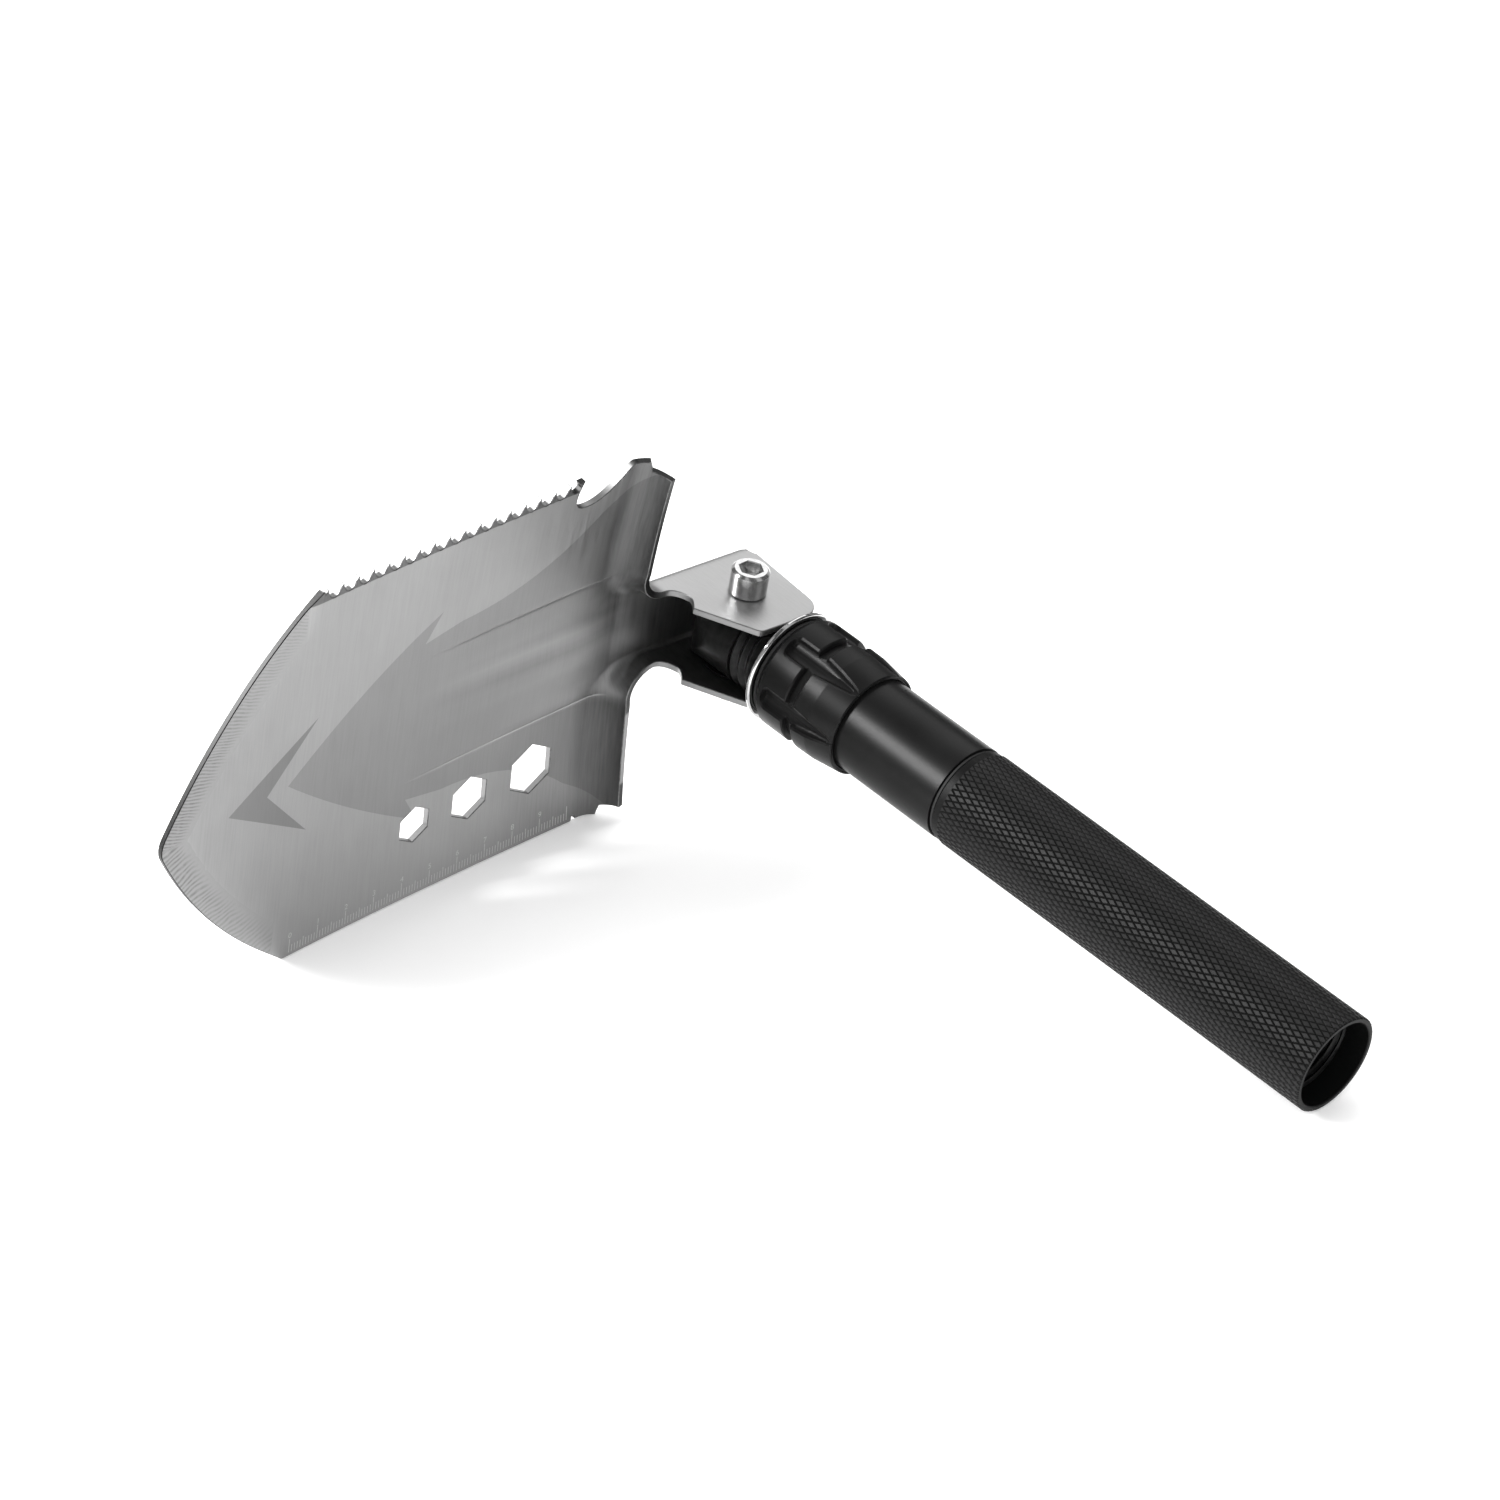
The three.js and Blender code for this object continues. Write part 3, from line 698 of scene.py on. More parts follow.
def arc(center, radius, start, end, count):
    """Points of a round arc from one angle to another, in degrees, where 0 points out."""
    points = []
    for i in range(count + 1):
        a = radians(start + (end - start) * i / count)
        points.append((center[0] + radius * cos(a), center[1] + radius * sin(a)))
    return points


def tip_edge(count=40):
    """The upper edge of the tip from the point to the corner."""
    run = TIP_OUT - SIDE_END
    chord = hypot(run, HALF_WIDTH)
    bow_out = 2 * TIP_EDGE_BULGE * HALF_WIDTH / chord
    bow_z = 2 * TIP_EDGE_BULGE * run / chord
    control = (SIDE_END + run / 2 + bow_out, HALF_WIDTH / 2 + bow_z)
    points = curve((TIP_OUT, 0.0), control, (SIDE_END, HALF_WIDTH), count)
    points = [point for point in points if point[1] > TIP_ROUND]
    apex = (TIP_OUT + points[0][0]) / 2
    return [(apex, 0.0)] + curve((apex, 0.0), (apex, points[0][1] / 2), points[0], 6) + points[1:]


def saw_and_hook():
    points = []
    edge = HALF_WIDTH
    root = edge - TOOTH_DEPTH
    for i in range(TEETH):
        tip = FIRST_TOOTH - i * TOOTH_PITCH
        tooth = path((tip + 0.9, edge - 1), (tip + 0.25, edge - 0.05), (tip - 0.1, edge - 0.1),
                     ((tip - 0.7, root), (tip - 2.4, root), 5), ((tip - 3.6, root), (tip - 4.3, edge - 1), 4))
        points += tooth[:-1]
    hook = FIRST_TOOTH - TEETH * TOOTH_PITCH + 1.9
    throat = edge - HOOK_DEPTH
    return points + path(
        (hook + 0.4, edge - 0.1),
        (hook - 1.6, edge),
        ((hook - 0.4, edge - 3), (hook - 0.3, edge - 5.4), 4),
        ((hook + 0.1, throat), (50, throat), 8),
        ((44, throat - 0.3), (37.6, edge - 2.3), 12),
        (35.4, edge - 0.5),
    )


def foot_edge(out):
    """Where a place on the foot step, given as the distance out that it ends up at, lies in the flat."""
    return FOOT_ROLL - FOOT_BEND_R * asin(max(0, FOOT_ROLL - out) / FOOT_BEND_R)


def on_ear(out, x):
    """The flat place of a point on an ear, given as its distance out and its X."""
    return (out * SKEW_X + PIN_OUT, x + PIN_S)


def neck_and_ear():
    """The upper side from the step's free edge round the ear to the web's end, shared by both sides."""
    fillet = []
    for part in np.linspace(0, 1, 19):
        radius, turn, wall, start = flange(part)
        left = start - radius * turn - wall
        a = part * pi / 2
        fillet.append((FILLET_OUT + left * cos(a), FILLET_S - left * sin(a)))
    points = path(
        *fillet,
        (on_ear(17.2, -10.4), on_ear(15.6, -5.6), 6),
        (on_ear(15.2, -4.2), on_ear(18, -0.7), 5),
        (on_ear(13.4, 7.3), on_ear(8.8, 15.2), 8),
        (on_ear(8.1, 16.4), on_ear(7, 16.4), 4),
        *(on_ear(7 - 1.8 * i, 16.4) for i in range(1, 8)),
        *arc(on_ear(-7.4, 10.2), 6.2, 90, 180, 12),
        *(on_ear(-13.6, 10.2 - 22.6 * i / 14) for i in range(1, 15)),
        (on_ear(-12.8, -13.4), on_ear(-12.4, -15.4), 4),
    )
    out, s = points[-1]
    return points + [(out, s * (1 - i / 8)) for i in range(1, 9)]


def handle_end():
    """From the foot step's outer corner along its free edge, and on round the neck and the ear."""
    corner = path((31.2, HALF_WIDTH - 0.5), (30.3, HALF_WIDTH - 3.6),
                  ((28.6, HALF_WIDTH - 4.2), (STEP_END, STEP_CORNER), 4))
    corner = [(foot_edge(out), s) for out, s in corner]
    edge = [(foot_edge(STEP_END), STEP_CORNER + (FILLET_S - STEP_CORNER) * i / 20) for i in range(1, 20)]
    return corner + edge + neck_and_ear()


def upper_side():
    return tip_edge() + saw_and_hook() + handle_end()


def lower_side():
    straight = [(SIDE_END - (SIDE_END - SIDE_START) * i / 60, HALF_WIDTH) for i in range(1, 61)]
    notch = [(38.6, HALF_WIDTH - 1.6), (37.6, HALF_WIDTH - 1.6), (37.4, HALF_WIDTH - 0.3)]
    return [(out, -s) for out, s in tip_edge() + straight + notch + handle_end()]


def spaced(points, longest):
    """A closed outline with points added so that no side is longer than this."""
    result = []
    for i, (a, b) in enumerate(points):
        c, d = points[(i + 1) % len(points)]
        parts = max(1, ceil(hypot(c - a, d - b) / longest))
        result += [(a + (c - a) * k / parts, b + (d - b) * k / parts) for k in range(parts)]
    return result


def inset(points, distance):
    """A closed outline moved inwards, corner by corner; an outline that turns left shrinks."""
    p = np.array(points)
    sides = (p - np.roll(p, 1, 0), np.roll(p, -1, 0) - p)
    before, after = (side[:, ::-1] * (-1, 1) / np.linalg.norm(side, axis=1)[:, None] for side in sides)
    scale = distance / np.maximum(0.35, 1 + (before * after).sum(1))
    return p + (before + after) * scale[:, None]


def inside(points, polygon):
    """Which points lie inside a closed outline."""
    x, y = points[:, 0], points[:, 1]
    result = np.zeros(len(points), bool)
    for (x1, y1), (x2, y2) in zip(polygon, np.roll(polygon, -1, 0)):
        crosses = (y1 > y) != (y2 > y)
        if not crosses.any():
            continue
        at = x1 + (y - y1) / (y2 - y1 if y2 != y1 else 1) * (x2 - x1)
        result ^= crosses & (x < at)
    return result


def distance_to(points, polygon):
    """The shortest distance from each point to the corners of an outline."""
    best = np.full(len(points), 1e9)
    for corner in polygon:
        best = np.minimum(best, ((points - corner) ** 2).sum(1))
    return np.sqrt(best)


# The darker pattern on the front face, as (out, distance from the centre line): a chevron near the tip
# and a large arrowhead that runs back into the neck.
CHEVRON = [(168.6, 0.0), (139.0, 18.4), (155.0, 0.0)]
ARROW_POINT = (147.6, 0.0)
BARB = (97.5, 34.4)
BARB_NOTCH = (102.4, 25.8)
ARROW_WAIST = (89.5, 28.1)
ARROW_FLARE = (43.0, 45.8)
ARROW_END = (26.0, 57.0)


def mirrored(points):
    """A whole outline from its upper half, which starts and ends on the centre line."""
    lower = [(out, -s) for out, s in reversed(points) if s > 0]
    return points + lower


def arrow_outline():
    upper = [ARROW_POINT] + curve(ARROW_POINT, (122.0, 21.5), BARB, 14) + [BARB_NOTCH, ARROW_WAIST]
    upper += curve(ARROW_WAIST, (62.0, 28.5), ARROW_FLARE, 12) + [ARROW_END, (20.0, 57.0), (20.0, 22.0)]
    return mirrored(upper + [(-18.0, 22.0), (-18.0, 0.0)])


def lattice(outs, across):
    return [(out, s) for out in outs for s in across]


def grid_points():
    """Places in the flat where the sheet's surface is sampled, finer round the neck and the creases."""
    sides = (1, -1)
    outs = [*np.arange(STEP_OUT, TIP_OUT, 1.4), *np.arange(23.4, STEP_OUT, 0.8), *np.arange(-16, 17, 1.4)]
    places = lattice(outs, np.arange(-60, 60.1, 1.4))
    ear_folds = [side * (BEND_FROM + 0.45 * i) for i in range(8) for side in sides]
    places += lattice(np.arange(-14, 17, 1.4), ear_folds)
    places = [p for p in places if not (31 < p[0] < 108 and abs(abs(p[1]) - CREASE) < 1.6)]
    places = [p for p in places if not (16.9 < p[0] < 34.2 and abs(p[1]) < 26.3)]
    creases = [side * (CREASE + LINE_HALF * i / 2) for i in range(-3, 4) for side in sides]
    places += lattice(np.arange(33, 108, 1.4), creases)
    return np.array(places + lattice(np.arange(17, 34, 0.6), np.arange(-26, 26.1, 0.6)))


def turns_left(loop):
    return sum(a[0] * b[1] - b[0] * a[1] for a, b in zip(loop, loop[1:] + loop[:1])) > 0


def blank_loops():
    """The flat blank's closed outlines: the outside turns left, the holes turn right."""
    outside = spaced(lower_side() + upper_side()[::-1][1:-1], 1.6)
    holes = []
    for out, flats in SPANNER_HOLES:
        corner = flats / sqrt(3)
        turns = [radians(60 * i) for i in range(6)]
        hexagon = [(out + corner * sin(a), SPANNER_Z + corner * cos(a)) for a in turns]
        holes.append(spaced(hexagon, 1.2))
    pin_out, pin_s = on_ear(0, 0)
    holes += [arc((pin_out, side * pin_s), BOLT_R + GAP, 360, 10, 35) for side in (1, -1)]
    loops = [outside if turns_left(outside) else outside[::-1]]
    return loops + [hole[::-1] if turns_left(hole) else hole for hole in holes]


def on_sheet(points, loops):
    """Which points lie inside the first outline and outside the others."""
    kept = inside(points, loops[0])
    for hole in loops[1:]:
        kept &= ~inside(points, hole)
    return kept


def cut_sheet(loops, pattern, band):
    """Triangles over the flat blank, with edges along its outlines, and where each outline point went."""
    grid = grid_points()
    outlines = np.vstack([*loops, *pattern, band])
    grid = grid[on_sheet(grid, loops) & (distance_to(grid, outlines) > 0.6)]
    places, edges = [], []
    for line, steps in [(loop, len(loop)) for loop in loops + pattern] + [(band, len(band) - 1)]:
        start = len(places)
        edges += [(start + i, start + (i + 1) % len(line)) for i in range(steps)]
        places += [Vector(p) for p in line]
    places += [Vector(p) for p in grid]
    flat, _, triangles, originals, _, _ = geometry.delaunay_2d_cdt(places, edges, [], 0, 1e-5, True)
    flat = np.array(flat)
    triangles = np.array(triangles)
    new_of = {source: i for i, sources in enumerate(originals) for source in sources}
    return flat, triangles[on_sheet(flat[triangles].mean(1), loops)], new_of


def folded(flat):
    """The folded middle plane and its unit normal, which points forwards, for flat places."""
    return middle(*flat.T), normal(*flat.T)


def blade():
    loops = blank_loops()
    inner = [inset(loop, EDGE) for loop in loops]
    chevron, arrow = (np.array(spaced(outline, 1.4)) for outline in (mirrored(CHEVRON), arrow_outline()))
    band = inset([(o, -s) for o, s in reversed(tip_edge()[1:])] + tip_edge(), BAND)[2:-2]
    flat, triangles, new_of = cut_sheet(inner, [chevron, arrow], band)

    # the front and back faces; the front is ground down towards the tip's edge
    folded_over = np.column_stack([flat[:, 0], np.abs(flat[:, 1])])
    lean = np.clip(1 - distance_to(folded_over, np.array(tip_edge(200))) / BAND, 0, 1)
    lean *= rise(flat[:, 0], SIDE_END, GRIND_FULL)
    plane, ahead = folded(flat)
    front = plane + ahead * (SHEET / 2 - GRIND * lean)[:, None]
    rear = plane - ahead * (SHEET / 2)
    points = [*front, *rear]
    count = len(flat)
    faces = [(a, c, b) for a, b, c in triangles]
    faces += [(count + a, count + b, count + c) for a, b, c in triangles]

    finishes = (STEEL, STEEL_DARK, STEEL_PLAIN, STEEL_EDGE, GROUND_EDGE, STEEL_RIM, STEEL_DEEP)
    plain, dark, back_face, cut, ground, rim, deep = range(len(finishes))
    centers = flat[triangles].mean(1)
    in_ear = (centers[:, 0] < FILLET_OUT) & (np.abs(centers[:, 1]) > BEND_FROM + 1)
    in_band = (centers[:, 0] > SIDE_END + 4) & (lean[triangles].mean(1) > 0.02)
    face = np.where(inside(centers, arrow) | in_ear, dark, plain)
    face = np.where(in_band, ground, face)
    index = [*np.where(inside(centers, chevron), deep, face)] + [back_face] * len(triangles)

    # between them, the bevelled cut edge along every outline
    start = 0
    for loop in loops:
        places = np.array(loop)
        plane, ahead = folded(places)
        thinner = GRIND * rise(places[:, 0], SIDE_END, GRIND_FULL)
        outer_front = plane + ahead * (SHEET / 2 - EDGE - thinner)[:, None]
        outer_rear = plane - ahead * (SHEET / 2 - EDGE)
        base = len(points)
        size = len(loop)
        points += [*outer_front, *outer_rear]
        for i in range(size):
            k = (i + 1) % size
            a, b = new_of[start + i], new_of[start + k]
            faces.append((a, b, base + k, base + i))
            faces.append((base + i, base + k, base + size + k, base + size + i))
            faces.append((base + size + i, base + size + k, count + b, count + a))
            index += [rim, cut, cut]
        start += size
    made = piece("blade_sheet", (points, faces), "blade", "blade_steel", "blade",
                 materials=finishes, index=index, sharp=40)
    bm = bmesh.new()
    bm.from_mesh(made.data)
    bmesh.ops.recalc_face_normals(bm, faces=bm.faces)
    bm.to_mesh(made.data)
    bm.free()
    made.data.set_sharp_from_angle(angle=radians(40))


def ruler():
    """Millimetre ticks and centimetre numbers along the blade's lower edge."""
    first = SIDE_END - 2.2
    tick_half = 0.13
    foot = -HALF_WIDTH + 1.2
    verts, faces = [], []

    def patch(corners):
        faces.append(tuple(range(len(verts), len(verts) + len(corners))))
        plane, ahead = folded(np.array(corners))
        verts.extend(plane + ahead * (SHEET / 2 + 0.02))

    for i in range(101):
        top = foot + (4.5 if i % 10 == 0 else 3.2 if i % 5 == 0 else 2.4)
        low = first - i - tick_half
        high = first - i + tick_half
        patch([(high, foot), (high, top), (low, top), (low, foot)])
    for number in range(10):
        text = bpy.data.curves.new("digits", "FONT")
        text.body = str(number)
        text.size = 2.5
        text.align_x = "CENTER"
        holder = bpy.data.objects.new("digits", text)
        mesh = bpy.data.meshes.new_from_object(holder)
        for polygon in mesh.polygons:
            corners = [mesh.vertices[v].co for v in polygon.vertices]
            patch([(first - 10 * number - c.x, -HALF_WIDTH + 6.2 + c.y) for c in corners])
        bpy.data.objects.remove(holder)
        bpy.data.curves.remove(text)
    piece("ruler_marks", (verts, faces), "blade", "blade_steel", materials=[MARKING])


# ---- hinge ----
def hinge_bolt():
    """Socket head cap screw: threaded end, chamfered head and a hexagon socket."""
    seat = EAR_HALF + GAP
    top = seat + HEAD_H
    end = -EAR_HALF - 9
    shank = BOLT_R - 0.02
    rows = 90
    rings = [about_pin(end, BOLT_R - 0.7), about_pin(end + 0.5, BOLT_R - 0.35)]
    for i in range(rows + 1):
        z = end + 0.6 + 9.0 * i / rows
        rings.append(about_pin(z, helix(shank, 0.5, 1.0, z)))
    socket = hexagon_radius(SOCKET_FLATS)
    rings += [about_pin(z, r) for z, r in (
        (end + 10, shank), (seat - 0.4, shank), (seat, BOLT_R + 0.3), (seat, HEAD_R - 0.25),
        (seat + 0.2, HEAD_R), (top - 0.75, HEAD_R), (top - 0.2, HEAD_R - 0.5), (top, HEAD_R - 0.8),
        (top, lambda a: socket(a) + 0.25), (top - 0.25, socket), (top - 4.0, socket), (top - 5.2, 0.4))]
    shape = skin(rings, closed=False)
    piece("socket_bolt", shape, "blade", "chrome_steel", "hinge_bolt", materials=[BOLT_CHROME], sharp=28)


WASHER_TOP = -EAR_HALF - GAP
NUT_TOP = WASHER_TOP - WASHER_T - GAP
NUT_BOTTOM = NUT_TOP - NUT_H


def hinge_nut():
    """Hexagon nut with chamfered corners at both ends."""
    flat = hexagon_radius(NUT_FLATS)
    bore = BOLT_R + GAP
    rows = 24
    rings = []
    for i in range(rows + 1):
        z = NUT_BOTTOM + NUT_H * i / rows
        cone = NUT_FLATS / 2 - 0.1 + 1.8 * min(z - NUT_BOTTOM, NUT_TOP - z)
        rings.append(about_pin(z, lambda a: min(flat(a), cone)))
    rings += [about_pin(NUT_TOP, BOLT_R + 0.7), about_pin(NUT_TOP - 0.4, bore)]
    rings += [about_pin(NUT_BOTTOM + 0.4, bore), about_pin(NUT_BOTTOM, BOLT_R + 0.7)]
    piece("lock_nut", skin(rings), "blade", "zinc_steel", "hinge_nut", sharp=28)


def pin_ring(name, node, body, slot, outer, low, high, bevel=0.12):
    piece(name, turned(tube(BOLT_R + GAP, outer, low, high), about_pin), body, slot, node, bevel=bevel)


def threaded_stub():
    """The screwed end of the handle: a round-nosed tongue between the ears, then a coarse thread."""
    thread_start = 8
    rows = [*np.arange(0.02 - THREAD_R, 5, 0.5), *np.arange(5, 27, 0.2)]
    rows += [*np.arange(27, TUBE_START - 0.5, 0.6)]

    def shape(x):
        thread = helix(THREAD_R, 1.3, 3.0, x)
        width = sqrt(max(0.02, THREAD_R ** 2 - min(x, 0) ** 2))

        def at(a):
            r = thread(a) if x > thread_start else THREAD_R
            if x < TONGUE_END:
                flat = TONGUE_HALF + max(0, x - TONGUE_END + 0.9) * 2
                r = min(r, flat / max(1e-6, abs(sin(a))))
            return min(r, width / max(1e-6, abs(cos(a))))
        return at

    plug = TUBE_BORE - GAP
    section = [(x, shape(x)) for x in rows]
    section += [(TUBE_START - 0.4, plug), (STUB_END - 0.5, plug), (STUB_END, plug - 0.5)]
    threads = skin([about_x(x, radius, sides=180) for x, radius in section], closed=False)
    stub = piece("screwed_stub", threads, "handle", "dark_steel", "threaded_stub")
    drill(stub, Vector((0, 0, 0)), BUSH_R + 0.05, 40)
    drill(stub, Vector((GRUB_X, 0, -THREAD_R)), 2.05, 9)


# ---- collar and handle ----
FLUTES = 6
FLUTE_START = 24.6
FLUTE_HALF = 3.1
FLUTE_DEPTH = 1.85
CHAMFER = 0.6
GROOVE_DEPTH = 1.7
GROOVE_END = GROOVE_X + GROOVE_W
# The collar's outside between the flutes, as (place along the handle, radius).
COLLAR_SECTION = (
    (COLLAR_FRONT, COLLAR_R - 1.3), (COLLAR_FRONT + 1.1, COLLAR_R - 0.3), (COLLAR_FRONT + 1.5, COLLAR_R),
    (GROOVE_X - 0.5, COLLAR_R), (GROOVE_X - 0.1, COLLAR_R - 0.3), (GROOVE_X + 0.1, COLLAR_R - GROOVE_DEPTH),
    (GROOVE_END - 0.3, COLLAR_R - 0.6 * GROOVE_DEPTH), (GROOVE_END, COLLAR_R - 0.3),
    (GROOVE_END + 0.4, COLLAR_R), (42.0, COLLAR_R - 0.1),
    (COLLAR_END - 0.5, COLLAR_REAR_R), (COLLAR_END, COLLAR_REAR_R - 0.5),
)


def flute_half(x):
    """Half the width of a flute at x: it opens with a round end and closes to a point at the rear."""
    if x < FLUTE_START:
        return 0.0
    opened = min(1, (x - FLUTE_START) / 1.6)
    left = 1 - max(0, x - GROOVE_END) / (COLLAR_END - 0.2 - GROOVE_END)
    return FLUTE_HALF * sqrt(opened * (2 - opened)) * max(0.0, left) ** 0.6


def collar_ring(x):
    """One ring of the fluted collar; the columns follow the flutes' edges so that those stay crisp."""
    inside_steps = 14
    land_steps = 16
    half = flute_half(x)
    land = float(np.interp(x, *zip(*COLLAR_SECTION)))
    depth = FLUTE_DEPTH * min(1, half / (0.7 * FLUTE_HALF))
    whole = land if x > GROOVE_END + 1 else COLLAR_R
    columns = []
    for i in range(inside_steps + 1):
        u = 2 * i / inside_steps - 1
        cut = depth * sqrt(max(0, 1 - u * u)) + 0.4 * min(1, half)
        columns.append((u * half / COLLAR_R, min(land, whole - cut) if half > 0 else land))
    start = (half + CHAMFER * min(1, half / 0.8)) / COLLAR_R
    turn = 2 * pi / FLUTES
    for i in range(land_steps):
        columns.append((start + (turn - 2 * start) * i / (land_steps - 1), land))
    return [polar(x, r, flute * turn + a) for flute in range(FLUTES) for a, r in columns]


def lock_collar():
    marks = [x for x, _ in COLLAR_SECTION] + [FLUTE_START, FLUTE_START + 0.2]
    steps = np.arange(FLUTE_START, COLLAR_END - 0.5, 0.4)
    clear = [x for x in steps if min(abs(x - mark) for mark in marks) > 0.15]
    rings = [collar_ring(x) for x in sorted(marks + clear)]
    columns = [atan2(z, y) for _, y, z in rings[0]]
    seat = COLLAR_BORE + 0.7
    for x, r in ((COLLAR_END, seat + 0.2), (COLLAR_END - 0.2, seat), (COLLAR_END - 2.4, seat),
                 (COLLAR_END - 2.4, COLLAR_BORE), (COLLAR_FRONT, COLLAR_BORE)):
        rings.append([polar(x, r, a) for a in columns])
    piece("fluted_collar", skin(rings), "collar", "black_anodised", "lock_collar", sharp=24)


KNURL_STARTS = 51
KNURL_RISE = 4.07
KNURL_DEPTH = 0.32
KNURL_CREST = 0.6
KNURL_FROM = JOINT_X + 3.4
KNURL_TO = GRIP_END - 0.3


def diamonds(bm):
    """Fills a mesh with the knurl: diamonds with flat crests that share their low corners."""
    half_turn = pi / KNURL_STARTS
    half_rise = KNURL_RISE / 2
    sides = ((0, -1), (1, 0), (0, 1), (-1, 0))
    corners = {}

    def place(column, row, radius):
        return bm.verts.new(polar(KNURL_FROM - KNURL_RISE + row * half_rise, radius, column * half_turn))

    def corner(column, row):
        key = (column % (2 * KNURL_STARTS), row)
        if key not in corners:
            corners[key] = place(*key, GRIP_R - KNURL_DEPTH)
        return corners[key]

    for row in range(1, int((GRIP_END - KNURL_FROM) / half_rise) + 5):
        for column in range((row - 1) % 2, 2 * KNURL_STARTS, 2):
            ring = [corner(column + across, row + along) for across, along in sides]
            crest = [(column + KNURL_CREST * across, row + KNURL_CREST * along) for across, along in sides]
            tops = [place(*at, GRIP_R) for at in crest]
            bm.faces.new(tops)
            for i in range(4):
                k = (i + 1) % 4
                bm.faces.new((ring[i], ring[k], tops[k], tops[i]))


def end_wall(bm, place, section):
    """Runs the open border at a place along the handle through a section, a list of (x, radius)."""
    border = [e for e in bm.edges if e.is_boundary and abs(e.verts[0].co.x - place) < 0.01]
    for x, r in section:
        made = bmesh.ops.extrude_edge_only(bm, edges=border)["geom"]
        border = [g for g in made if isinstance(g, bmesh.types.BMEdge)]
        for v in (g for g in made if isinstance(g, bmesh.types.BMVert)):
            v.co = polar(x, r, atan2(v.co.z, v.co.y))


def knurled_grip():
    """The grip's tube, with a diamond knurl cut by two families of 23 degree grooves."""
    bm = bmesh.new()
    diamonds(bm)
    for x, sign in ((KNURL_FROM, 1), (KNURL_TO, -1)):
        everything = bm.verts[:] + bm.edges[:] + bm.faces[:]
        plane = {"plane_co": (x, 0, 0), "plane_no": (-sign, 0, 0)}
        bmesh.ops.bisect_plane(bm, geom=everything, clear_outer=True, **plane)
    lip = JOINT_X + 1.1
    lip_r = TUBE_R - 0.1
    shoulder = ((KNURL_FROM - 0.15, lip_r), (lip + 0.2, lip_r), (lip, lip_r - 0.2), (lip, TUBE_BORE))
    mouth = ((GRIP_END, GRIP_R - 0.45), (GRIP_END, TUBE_BORE + 0.25), (GRIP_END - 0.25, TUBE_BORE))
    end_wall(bm, KNURL_FROM, shoulder)
    end_wall(bm, KNURL_TO, mouth)
    # the bore joins the two ends
    bmesh.ops.bridge_loops(bm, edges=[e for e in bm.edges if e.is_boundary])
    bmesh.ops.triangulate(bm, faces=[f for f in bm.faces if len(f.verts) > 4])
    bmesh.ops.recalc_face_normals(bm, faces=bm.faces)
    bm.verts.index_update()
    verts = [tuple(v.co) for v in bm.verts]
    faces = [tuple(v.index for v in face.verts) for face in bm.faces]
    bm.free()
    piece("knurled_grip", (verts, faces), "handle", "black_knurl", "grip_tube", sharp=18)


def handle_ring(name, node, body, slot, section, bevel=0.15, closed=True):
    return piece(name, turned(section, closed=closed), body, slot, node, bevel=bevel)


def neck_tube():
    wall = handle_ring("neck_sleeve", "neck_tube", "handle", "black_anodised",
                       tube(TUBE_BORE, TUBE_R, TUBE_START, JOINT_X - GAP), bevel=0)
    drill(wall, Vector((GRUB_X, 0, -TUBE_R)), 2.2, 6)


def grub_screw():
    top = -THREAD_R - 1.2 + 0.7
    socket = hexagon_radius(2.0)
    section = ((top + 4.6, 1.5), (top + 4.2, 2.0), (top + 0.3, 2.0), (top, 1.7), (top, 1.3),
               (top, socket), (top + 1.6, socket), (top + 2.0, 0.2))
    rings = [[(GRUB_X + u, -v, z) for u, v in around(radius, 48)] for z, radius in section]
    piece("socket_grub_screw", skin(rings, closed=False), "handle", "dark_steel", "neck_grub_screw")


def end_sleeve():
    """The screwed sleeve inside the open end of the grip."""
    start = GRIP_END - 19
    end = GRIP_END - 7
    bore = 11.8
    outside = TUBE_BORE - GAP
    rows = 80
    rings = [about_x(start, outside), about_x(end, outside), about_x(end, bore)]
    for i in range(rows + 1):
        x = end - 0.4 - (end - start - 0.8) * i / rows
        rings.append(about_x(x, helix(11.9, 0.9, 2.0, x)))
    rings.append(about_x(start, bore))
    piece("end_screw_sleeve", skin(rings), "handle", "dark_steel", "end_thread_sleeve")


blade()
ruler()
hinge_bolt()
hinge_nut()
pin_ring("plain_washer", "nut_washer", "blade", "zinc_steel", 6, WASHER_TOP - WASHER_T, WASHER_TOP)
pin_ring("nylon_insert", "nut_nylon_ring", "blade", "nylon", 4.2,
         NUT_BOTTOM - GAP - NYLON_H, NUT_BOTTOM - GAP, bevel=0.35)
for where, side in (("upper", 1), ("lower", -1)):
    ends = sorted(side * (TONGUE_HALF + GAP + depth) for depth in (0, FRICTION_T))
    pin_ring("friction_disc_" + where, "friction_washer_" + where, "blade", "dark_steel", 9, *ends)
threaded_stub()
pin_ring("pivot_bush", "hinge_bush", "handle", "bronze", BUSH_R, -TONGUE_HALF, TONGUE_HALF)
neck_tube()
grub_screw()
plug = TUBE_BORE - GAP
over_thread = THREAD_R + GAP
ring_end = RING_FRONT + RING_T
handle_ring("grip_spigot", "coupling_spigot", "handle", "dark_steel",
            [(STUB_END + 1, plug), (SPIGOT_END, plug)], bevel=0.5, closed=False)
handle_ring("joint_seal", "coupling_seal", "handle", "seal_rubber",
            tube(TUBE_BORE, TUBE_R - 0.5, JOINT_X, JOINT_X + 0.8))
knurled_grip()
end_sleeve()
handle_ring("clamp_ring", "pressure_ring", "ring", "chrome_steel",
            tube(over_thread, RING_R, RING_FRONT, ring_end), bevel=0.45)
handle_ring("black_slip_washer", "slip_washer", "ring", "seal_rubber",
            tube(over_thread, 15, ring_end + GAP, COLLAR_FRONT - GAP))
lock_collar()
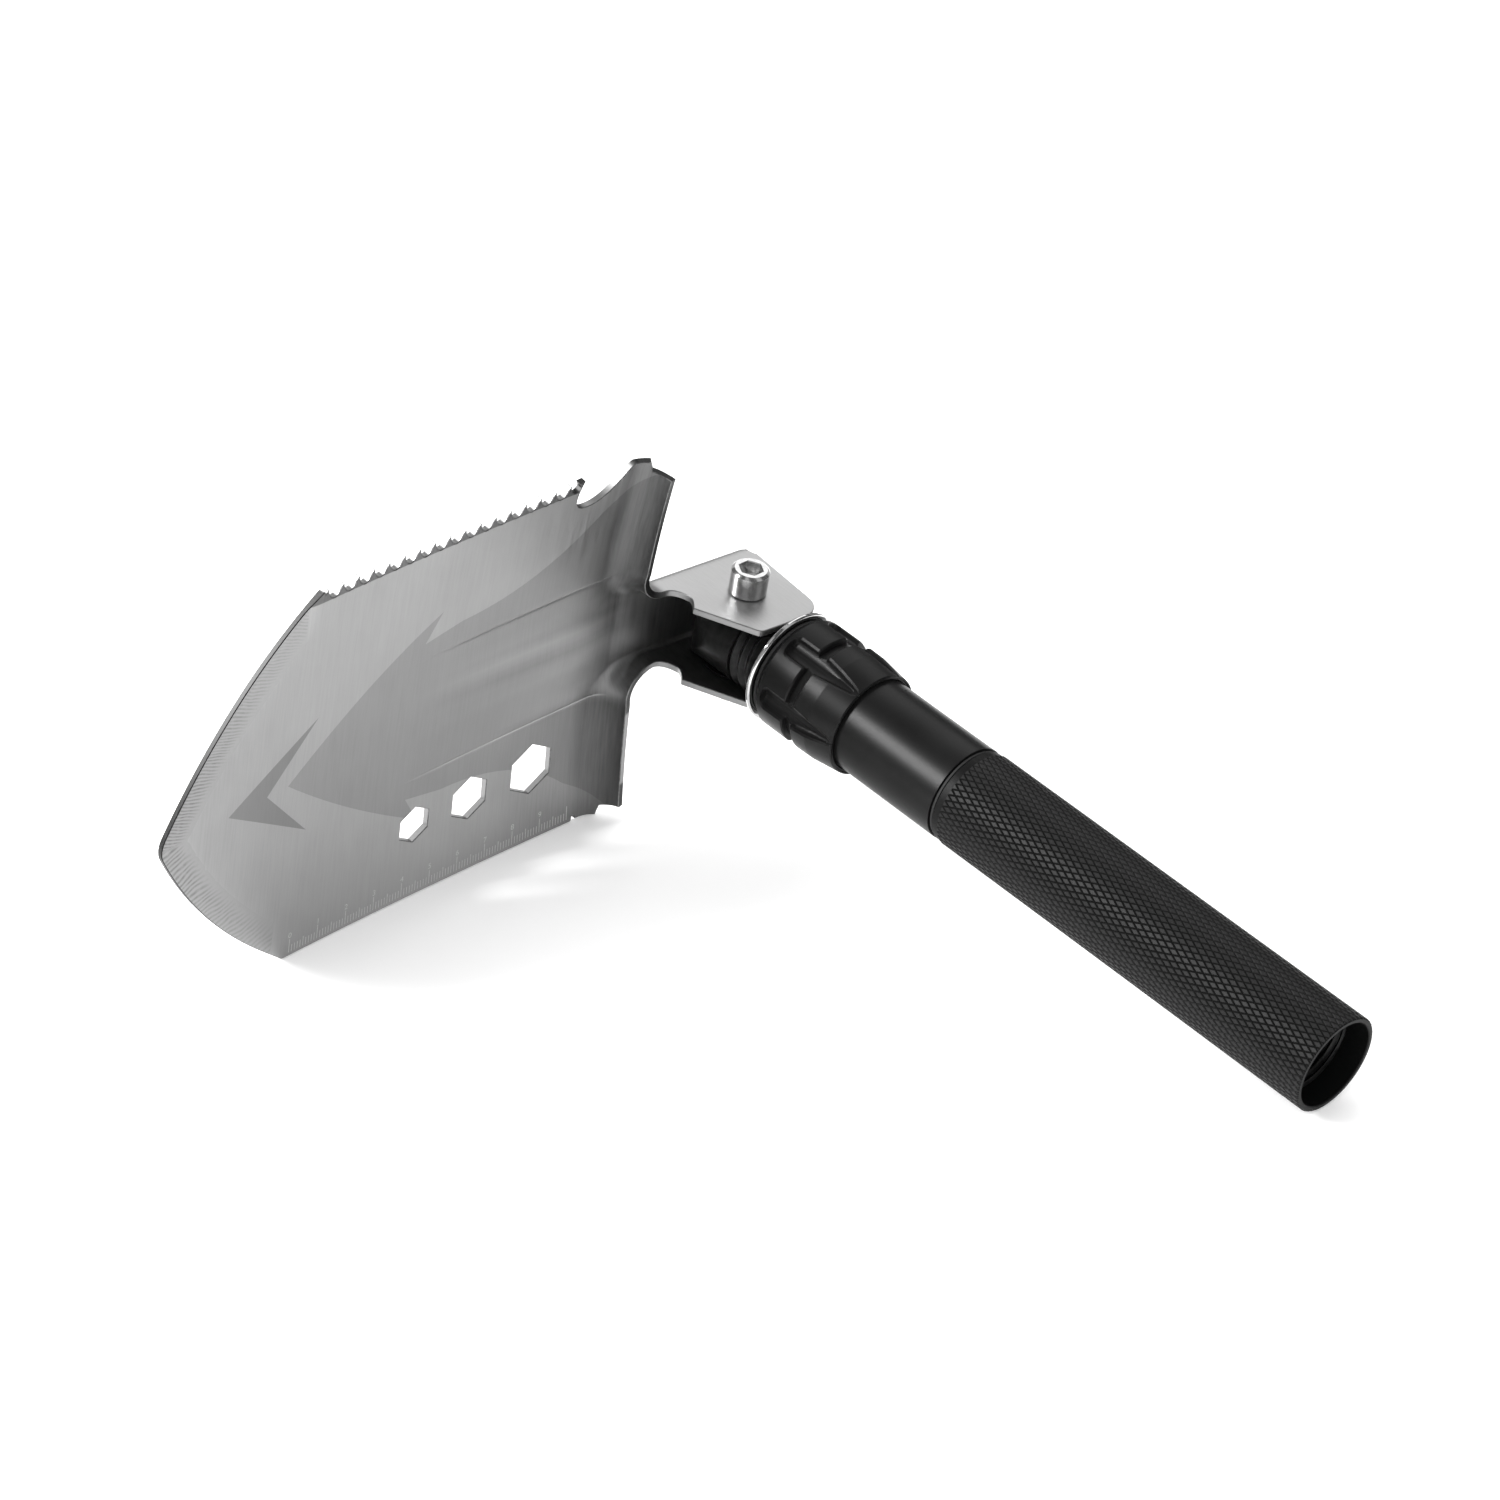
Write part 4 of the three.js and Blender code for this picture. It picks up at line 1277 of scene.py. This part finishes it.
handle_ring("collar_nut", "collar_nut_sleeve", "collar", "dark_steel",
            tube(over_thread, COLLAR_BORE - GAP, COLLAR_FRONT + 0.4, NUT_SLEEVE_END))
handle_ring("collar_wiper", "collar_wiper_ring", "collar", "seal_rubber",
            tube(TUBE_R + 0.2, COLLAR_BORE + 0.5, COLLAR_END - 2.1, COLLAR_END - 0.4))


# ---- floor and light ----
def floor():
    mesh = bpy.data.meshes.new("floor")
    half = 3.0
    corners = [(-half, -half, 0), (half, -half, 0), (half, half, 0), (-half, half, 0)]
    mesh.from_pydata(corners, [], [(0, 1, 2, 3)])
    paint = Finish("floor", grey(0.9), 0, 0.9)
    paint.set("Specular IOR Level", 0.1)
    # painted light: the floor glows a little, which lightens the shadows on it
    paint.set("Emission Color", (1, 1, 1, 1))
    paint.set("Emission Strength", 0.13)
    mesh.materials.append(paint.material)
    plane = add_object("floor", mesh)
    plane.location.z = -0.0002


def area_light(name, direction, distance, size, power):
    """A rectangular soft box that looks at the hinge from a direction."""
    lamp = bpy.data.lights.new(name, "AREA")
    lamp.shape = "RECTANGLE"
    lamp.size, lamp.size_y = size
    lamp.energy = power
    obj = add_object(name, lamp)
    away = Vector(direction).normalized()
    obj.location = PIN + away * distance
    obj.rotation_mode = "QUATERNION"
    obj.rotation_quaternion = away.to_track_quat("Z", "Y")


def studio_sky():
    """A white sweep for the camera and the floor; reflections see a dim room with soft light strips."""
    world = bpy.data.worlds.new("studio")
    bpy.context.scene.world = world
    world.use_nodes = True
    sky = Nodes(world.node_tree)
    ground = sky.tree.nodes["Background"].inputs
    x, y = sky.parts(sky.add("TexCoord", "Generated", {}), "XY")
    strips = (y.math("ARCTAN2", x) * 5).math("SINE")
    room = strips.span(0.1, 0.5, 0.1, 0.6, interpolation_type="SMOOTHSTEP")
    reflected = sky.add("LightPath", "Is Glossy Ray", {})
    sky.give((1, 1, 1, 1), ground["Color"])
    sky.give(sky.add("Mix", "Result", {"Factor": reflected, "A": 1.4, "B": room}), ground["Strength"])


floor()
studio_sky()
area_light("key", (-0.38, -0.72, 0.58), 1.3, (0.34, 0.5), 23)
area_light("back", (-0.37, 0.55, 0.74), 1.2, (0.8, 0.8), 2.7)
bpy.context.scene.view_settings.view_transform = "Standard"
